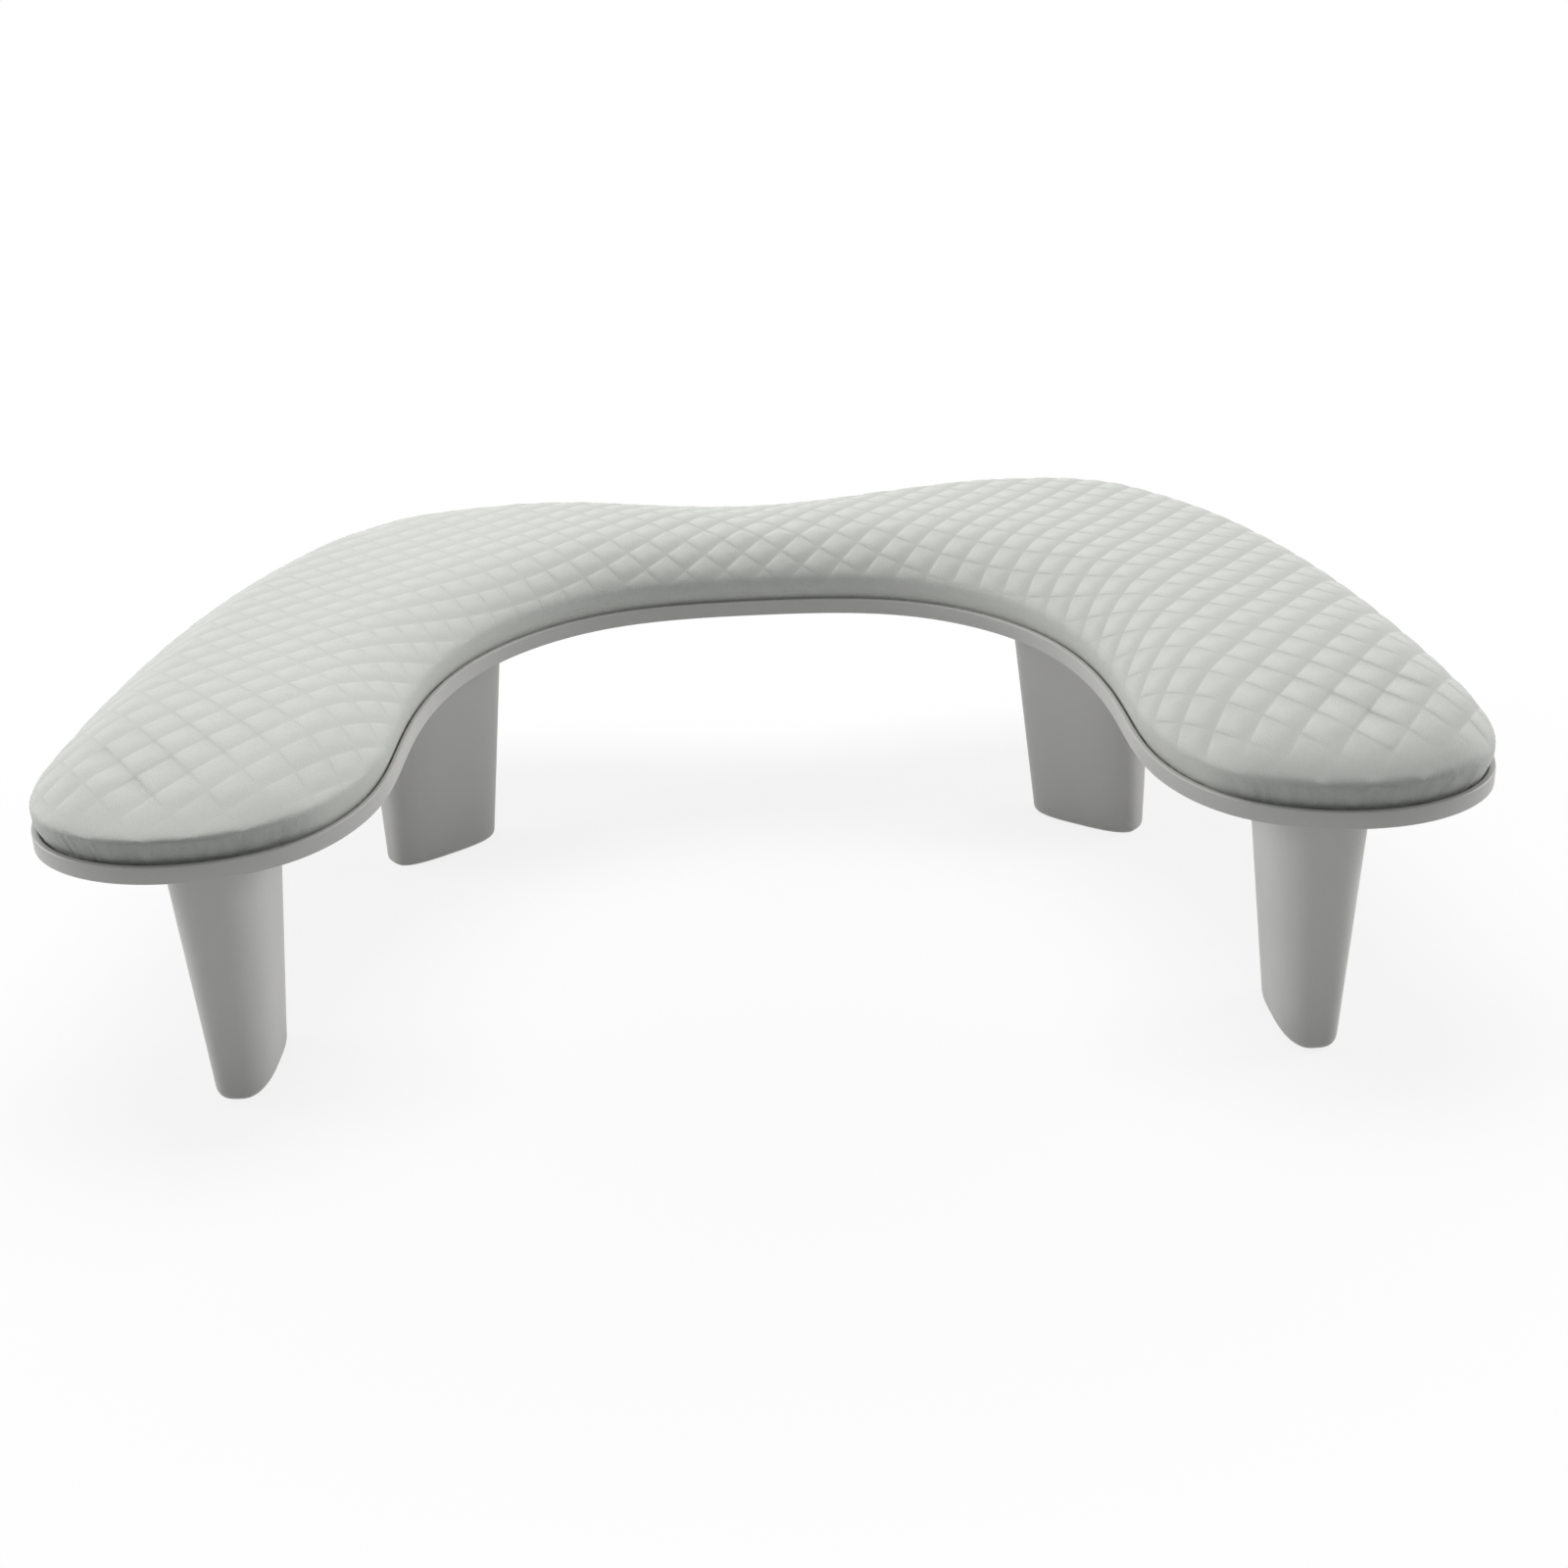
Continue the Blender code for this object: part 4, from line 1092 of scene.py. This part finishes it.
def place_group(tree, group, **inputs):
    """Puts a group into a material, fed by sockets or plain values; underscores stand for spaces."""
    node = tree.nodes.new("ShaderNodeGroup")
    node.node_tree = group
    for label, value in inputs.items():
        socket = node.inputs[label.replace("_", " ")]
        if isinstance(value, (int, float)):
            socket.default_value = value
        else:
            tree.links.new(value, socket)
    return node.outputs


def blend(tree, share, first, second):
    """A colour that goes from the first to the second as the share rises."""
    node = tree.nodes.new("ShaderNodeMix")
    node.data_type = "RGBA"
    # The Mix node's colours are its sockets 6 and 7, after those for numbers and vectors
    for socket, value in ((node.inputs[0], share), (node.inputs[6], first), (node.inputs[7], second)):
        if isinstance(value, (int, float)):
            socket.default_value = value
        elif isinstance(value, tuple):
            socket.default_value = (*value, 1.0)
        else:
            tree.links.new(value, socket)
    return node.outputs[2]


def bump(tree, height, distance, strength=1.0, before=None):
    node = tree.nodes.new("ShaderNodeBump")
    node.inputs["Strength"].default_value = strength
    node.inputs["Distance"].default_value = distance
    tree.links.new(height, node.inputs["Height"])
    if before:
        tree.links.new(before, node.inputs["Normal"])
    return node.outputs[0]


def start_material(name, metallic=0.0, specular=0.5):
    material = bpy.data.materials.new(name)
    material.use_nodes = True
    tree = material.node_tree
    shader = tree.nodes["Principled BSDF"]
    shader.inputs["Metallic"].default_value = metallic
    shader.inputs["Specular IOR Level"].default_value = specular
    place = tree.nodes.new("ShaderNodeTexCoord").outputs["Object"]
    return material, tree, shader, place


def vary_roughness(tree, marks, base, change):
    """The base roughness, changed where the marks of use lie."""
    return calculate(tree, "MULTIPLY_ADD", marks["Marks"], change, base)


def finish_surface(tree, shader, colour, roughness, normal):
    tree.links.new(colour, shader.inputs["Base Color"])
    tree.links.new(roughness, shader.inputs["Roughness"])
    tree.links.new(normal, shader.inputs["Normal"])


def uv_map(tree, name):
    node = tree.nodes.new("ShaderNodeUVMap")
    node.uv_map = name
    return node.outputs[0]


def mask(tree, name):
    node = tree.nodes.new("ShaderNodeAttribute")
    node.attribute_name = name
    return node.outputs["Fac"]


def cover_material(groups):
    """Soft woven-looking off-white cover, its tucked tips finely pleated, with painted shade on its
    diamonds, on the tips' forward faces, on the tucked band and in the pleats.
    """
    material, tree, shader, place = start_material("embossed_cover", specular=0.25)
    cloth = uv_map(tree, "cloth")
    weave = place_group(tree, groups["weave"], Cloth=cloth)
    shade = place_group(tree, groups["diamonds"], Lines=uv_map(tree, "diamonds"))["Shade"]
    marks = place_group(tree, groups["handling"], Place=place, Scale=11.0)
    pleat = noise(tree, stretch(tree, uv_map(tree, "around"), PLEAT_STRETCH), scale=1.0, detail=2.0)
    band = mask(tree, "band")
    # Painted shade on the diamonds, fading where the embossing fades
    shaded = calculate(tree, "MULTIPLY", shade, mask(tree, "relief"))
    colour = blend(tree, share_of(tree, shaded, DIAMOND_PAINTED_SHADE), COVER_COLOUR, COVER_SHADE)
    colour = blend(tree, share_of(tree, weave["Tone"], WEAVE_SHADE), colour, COVER_SHADE)
    colour = blend(tree, share_of(tree, marks["Marks"], MARK_SHADE), colour, COVER_MARK)
    # Painted shade in the pleats' folds, besides their bump below
    folded = calculate(tree, "MULTIPLY", band, ramp(tree, pleat, low=0.35, high=0.65))
    # Painted shade on the arm tips' forward faces
    colour = blend(tree, share_of(tree, mask(tree, "tip_front_shade"), TIP_FRONT_SHADE), colour, COVER_SHADE)
    # Painted shade on the tucked band under the crease
    colour = blend(tree, share_of(tree, band, BAND_PAINTED_SHADE), colour, COVER_SHADE)
    colour = blend(tree, share_of(tree, folded, PLEAT_PAINTED_SHADE), colour, COVER_SHADE)
    roughness = vary_roughness(tree, marks, base=0.62, change=-0.08)
    normal = bump(tree, weave["Height"], distance=0.00012, strength=0.8)
    pleated = calculate(tree, "MULTIPLY", band, pleat)
    normal = bump(tree, pleated, distance=0.0006, strength=0.7, before=normal)
    finish_surface(tree, shader, colour, roughness, normal)
    return material


def plastic_material(groups, name, pale, dark):
    """Warm grey satin plastic with a fine moulded grain, slight flow mottle and scuffs low on the legs."""
    material, tree, shader, place = start_material(name, specular=0.65)
    grain = place_group(tree, groups["grain"], Place=place, Scale=1500.0)
    marks = place_group(tree, groups["handling"], Place=place, Scale=26.0)
    low = ramp(tree, split(tree, place)["Z"], low=0.001, high=0.014, from_value=1.0, to_value=0.0)
    scuffed = calculate(tree, "MULTIPLY", low, marks["Marks"])
    colour = blend(tree, share_of(tree, grain["Mottle"], amount=0.25), pale, dark)
    colour = blend(tree, share_of(tree, marks["Dust"], amount=0.06), colour, DUST)
    colour = blend(tree, share_of(tree, scuffed, amount=0.35), colour, SCUFF)
    roughness = vary_roughness(tree, marks, base=0.36, change=0.08)
    normal = bump(tree, grain["Height"], distance=0.00003, strength=0.5)
    finish_surface(tree, shader, colour, roughness, normal)
    return material


def rubber_material(groups):
    """Black rubber, slightly dusty."""
    material, tree, shader, place = start_material("foot_rubber", specular=0.3)
    grain = place_group(tree, groups["grain"], Place=place, Scale=900.0)
    marks = place_group(tree, groups["handling"], Place=place, Scale=40.0)
    colour = blend(tree, share_of(tree, grain["Mottle"], amount=0.5), RUBBER_COLOUR, RUBBER_SHADE)
    colour = blend(tree, share_of(tree, marks["Dust"], amount=0.35), colour, DUST)
    roughness = vary_roughness(tree, marks, base=0.74, change=0.12)
    normal = bump(tree, grain["Height"], distance=0.0001, strength=0.8)
    finish_surface(tree, shader, colour, roughness, normal)
    return material


def steel_material(groups):
    """Zinc-plated steel with dull patches."""
    material, tree, shader, place = start_material("zinc_steel", metallic=1.0)
    grain = place_group(tree, groups["grain"], Place=place, Scale=2200.0)
    marks = place_group(tree, groups["handling"], Place=place, Scale=180.0)
    colour = blend(tree, grain["Mottle"], STEEL_COLOUR, STEEL_SHADE)
    colour = blend(tree, share_of(tree, marks["Marks"], amount=0.4), colour, STEEL_TARNISH)
    roughness = vary_roughness(tree, marks, base=0.30, change=0.18)
    normal = bump(tree, grain["Height"], distance=0.00002, strength=0.6)
    finish_surface(tree, shader, colour, roughness, normal)
    return material


def foam_material(groups):
    """Open-cell foam."""
    material, tree, shader, place = start_material("cushion_foam", specular=0.2)
    grain = place_group(tree, groups["grain"], Place=place, Scale=1100.0)
    marks = place_group(tree, groups["handling"], Place=place, Scale=20.0)
    colour = blend(tree, grain["Height"], FOAM_PORE, FOAM_COLOUR)
    roughness = vary_roughness(tree, marks, base=0.92, change=0.04)
    normal = bump(tree, grain["Height"], distance=0.0006, strength=1.0)
    finish_surface(tree, shader, colour, roughness, normal)
    return material


def board_material(groups):
    """Raw pressed board with fibres that run along it."""
    material, tree, shader, place = start_material("pressed_board", specular=0.3)
    fibres = stretch(tree, place, FIBRE_STRETCH)
    grain = place_group(tree, groups["grain"], Place=fibres, Scale=700.0)
    marks = place_group(tree, groups["handling"], Place=place, Scale=30.0)
    colour = blend(tree, grain["Mottle"], BOARD_COLOUR, BOARD_SHADE)
    colour = blend(tree, share_of(tree, marks["Dust"], amount=0.3), colour, DUST)
    roughness = vary_roughness(tree, marks, base=0.72, change=0.08)
    normal = bump(tree, grain["Height"], distance=0.0002, strength=0.8)
    finish_surface(tree, shader, colour, roughness, normal)
    return material


def dress(node, material):
    node.data.materials.clear()
    node.data.materials.append(material)


def build():
    """Sets up the room, then makes and dresses every piece."""
    bpy.context.scene.view_settings.view_transform = "Standard"
    add_camera()
    light_the_room()
    lay_table()
    groups = {
        "weave": weave_group(),
        "diamonds": diamond_group(),
        "handling": handling_group(),
        "grain": grain_group(),
    }
    tray_shell = plastic_material(groups, "tray_plastic", TRAY_COLOUR, TRAY_SHADE)
    # The legs' lighter plastic is painted light
    leg_shell = plastic_material(groups, "leg_plastic", LEG_COLOUR, LEG_SHADE)
    rubber, steel = rubber_material(groups), steel_material(groups)
    make_cover(cover_material(groups))
    make_tray(tray_shell)
    for leg in LEGS:
        make_leg(*leg, leg_shell)
        make_foot_pad(*leg, rubber)
    place_board_screws(steel)
    for name, node in NODES.items():
        if "screw" in name:
            dress(node, steel)
    dress(NODES["foam"], foam_material(groups))
    dress(NODES["board"], board_material(groups))


build()
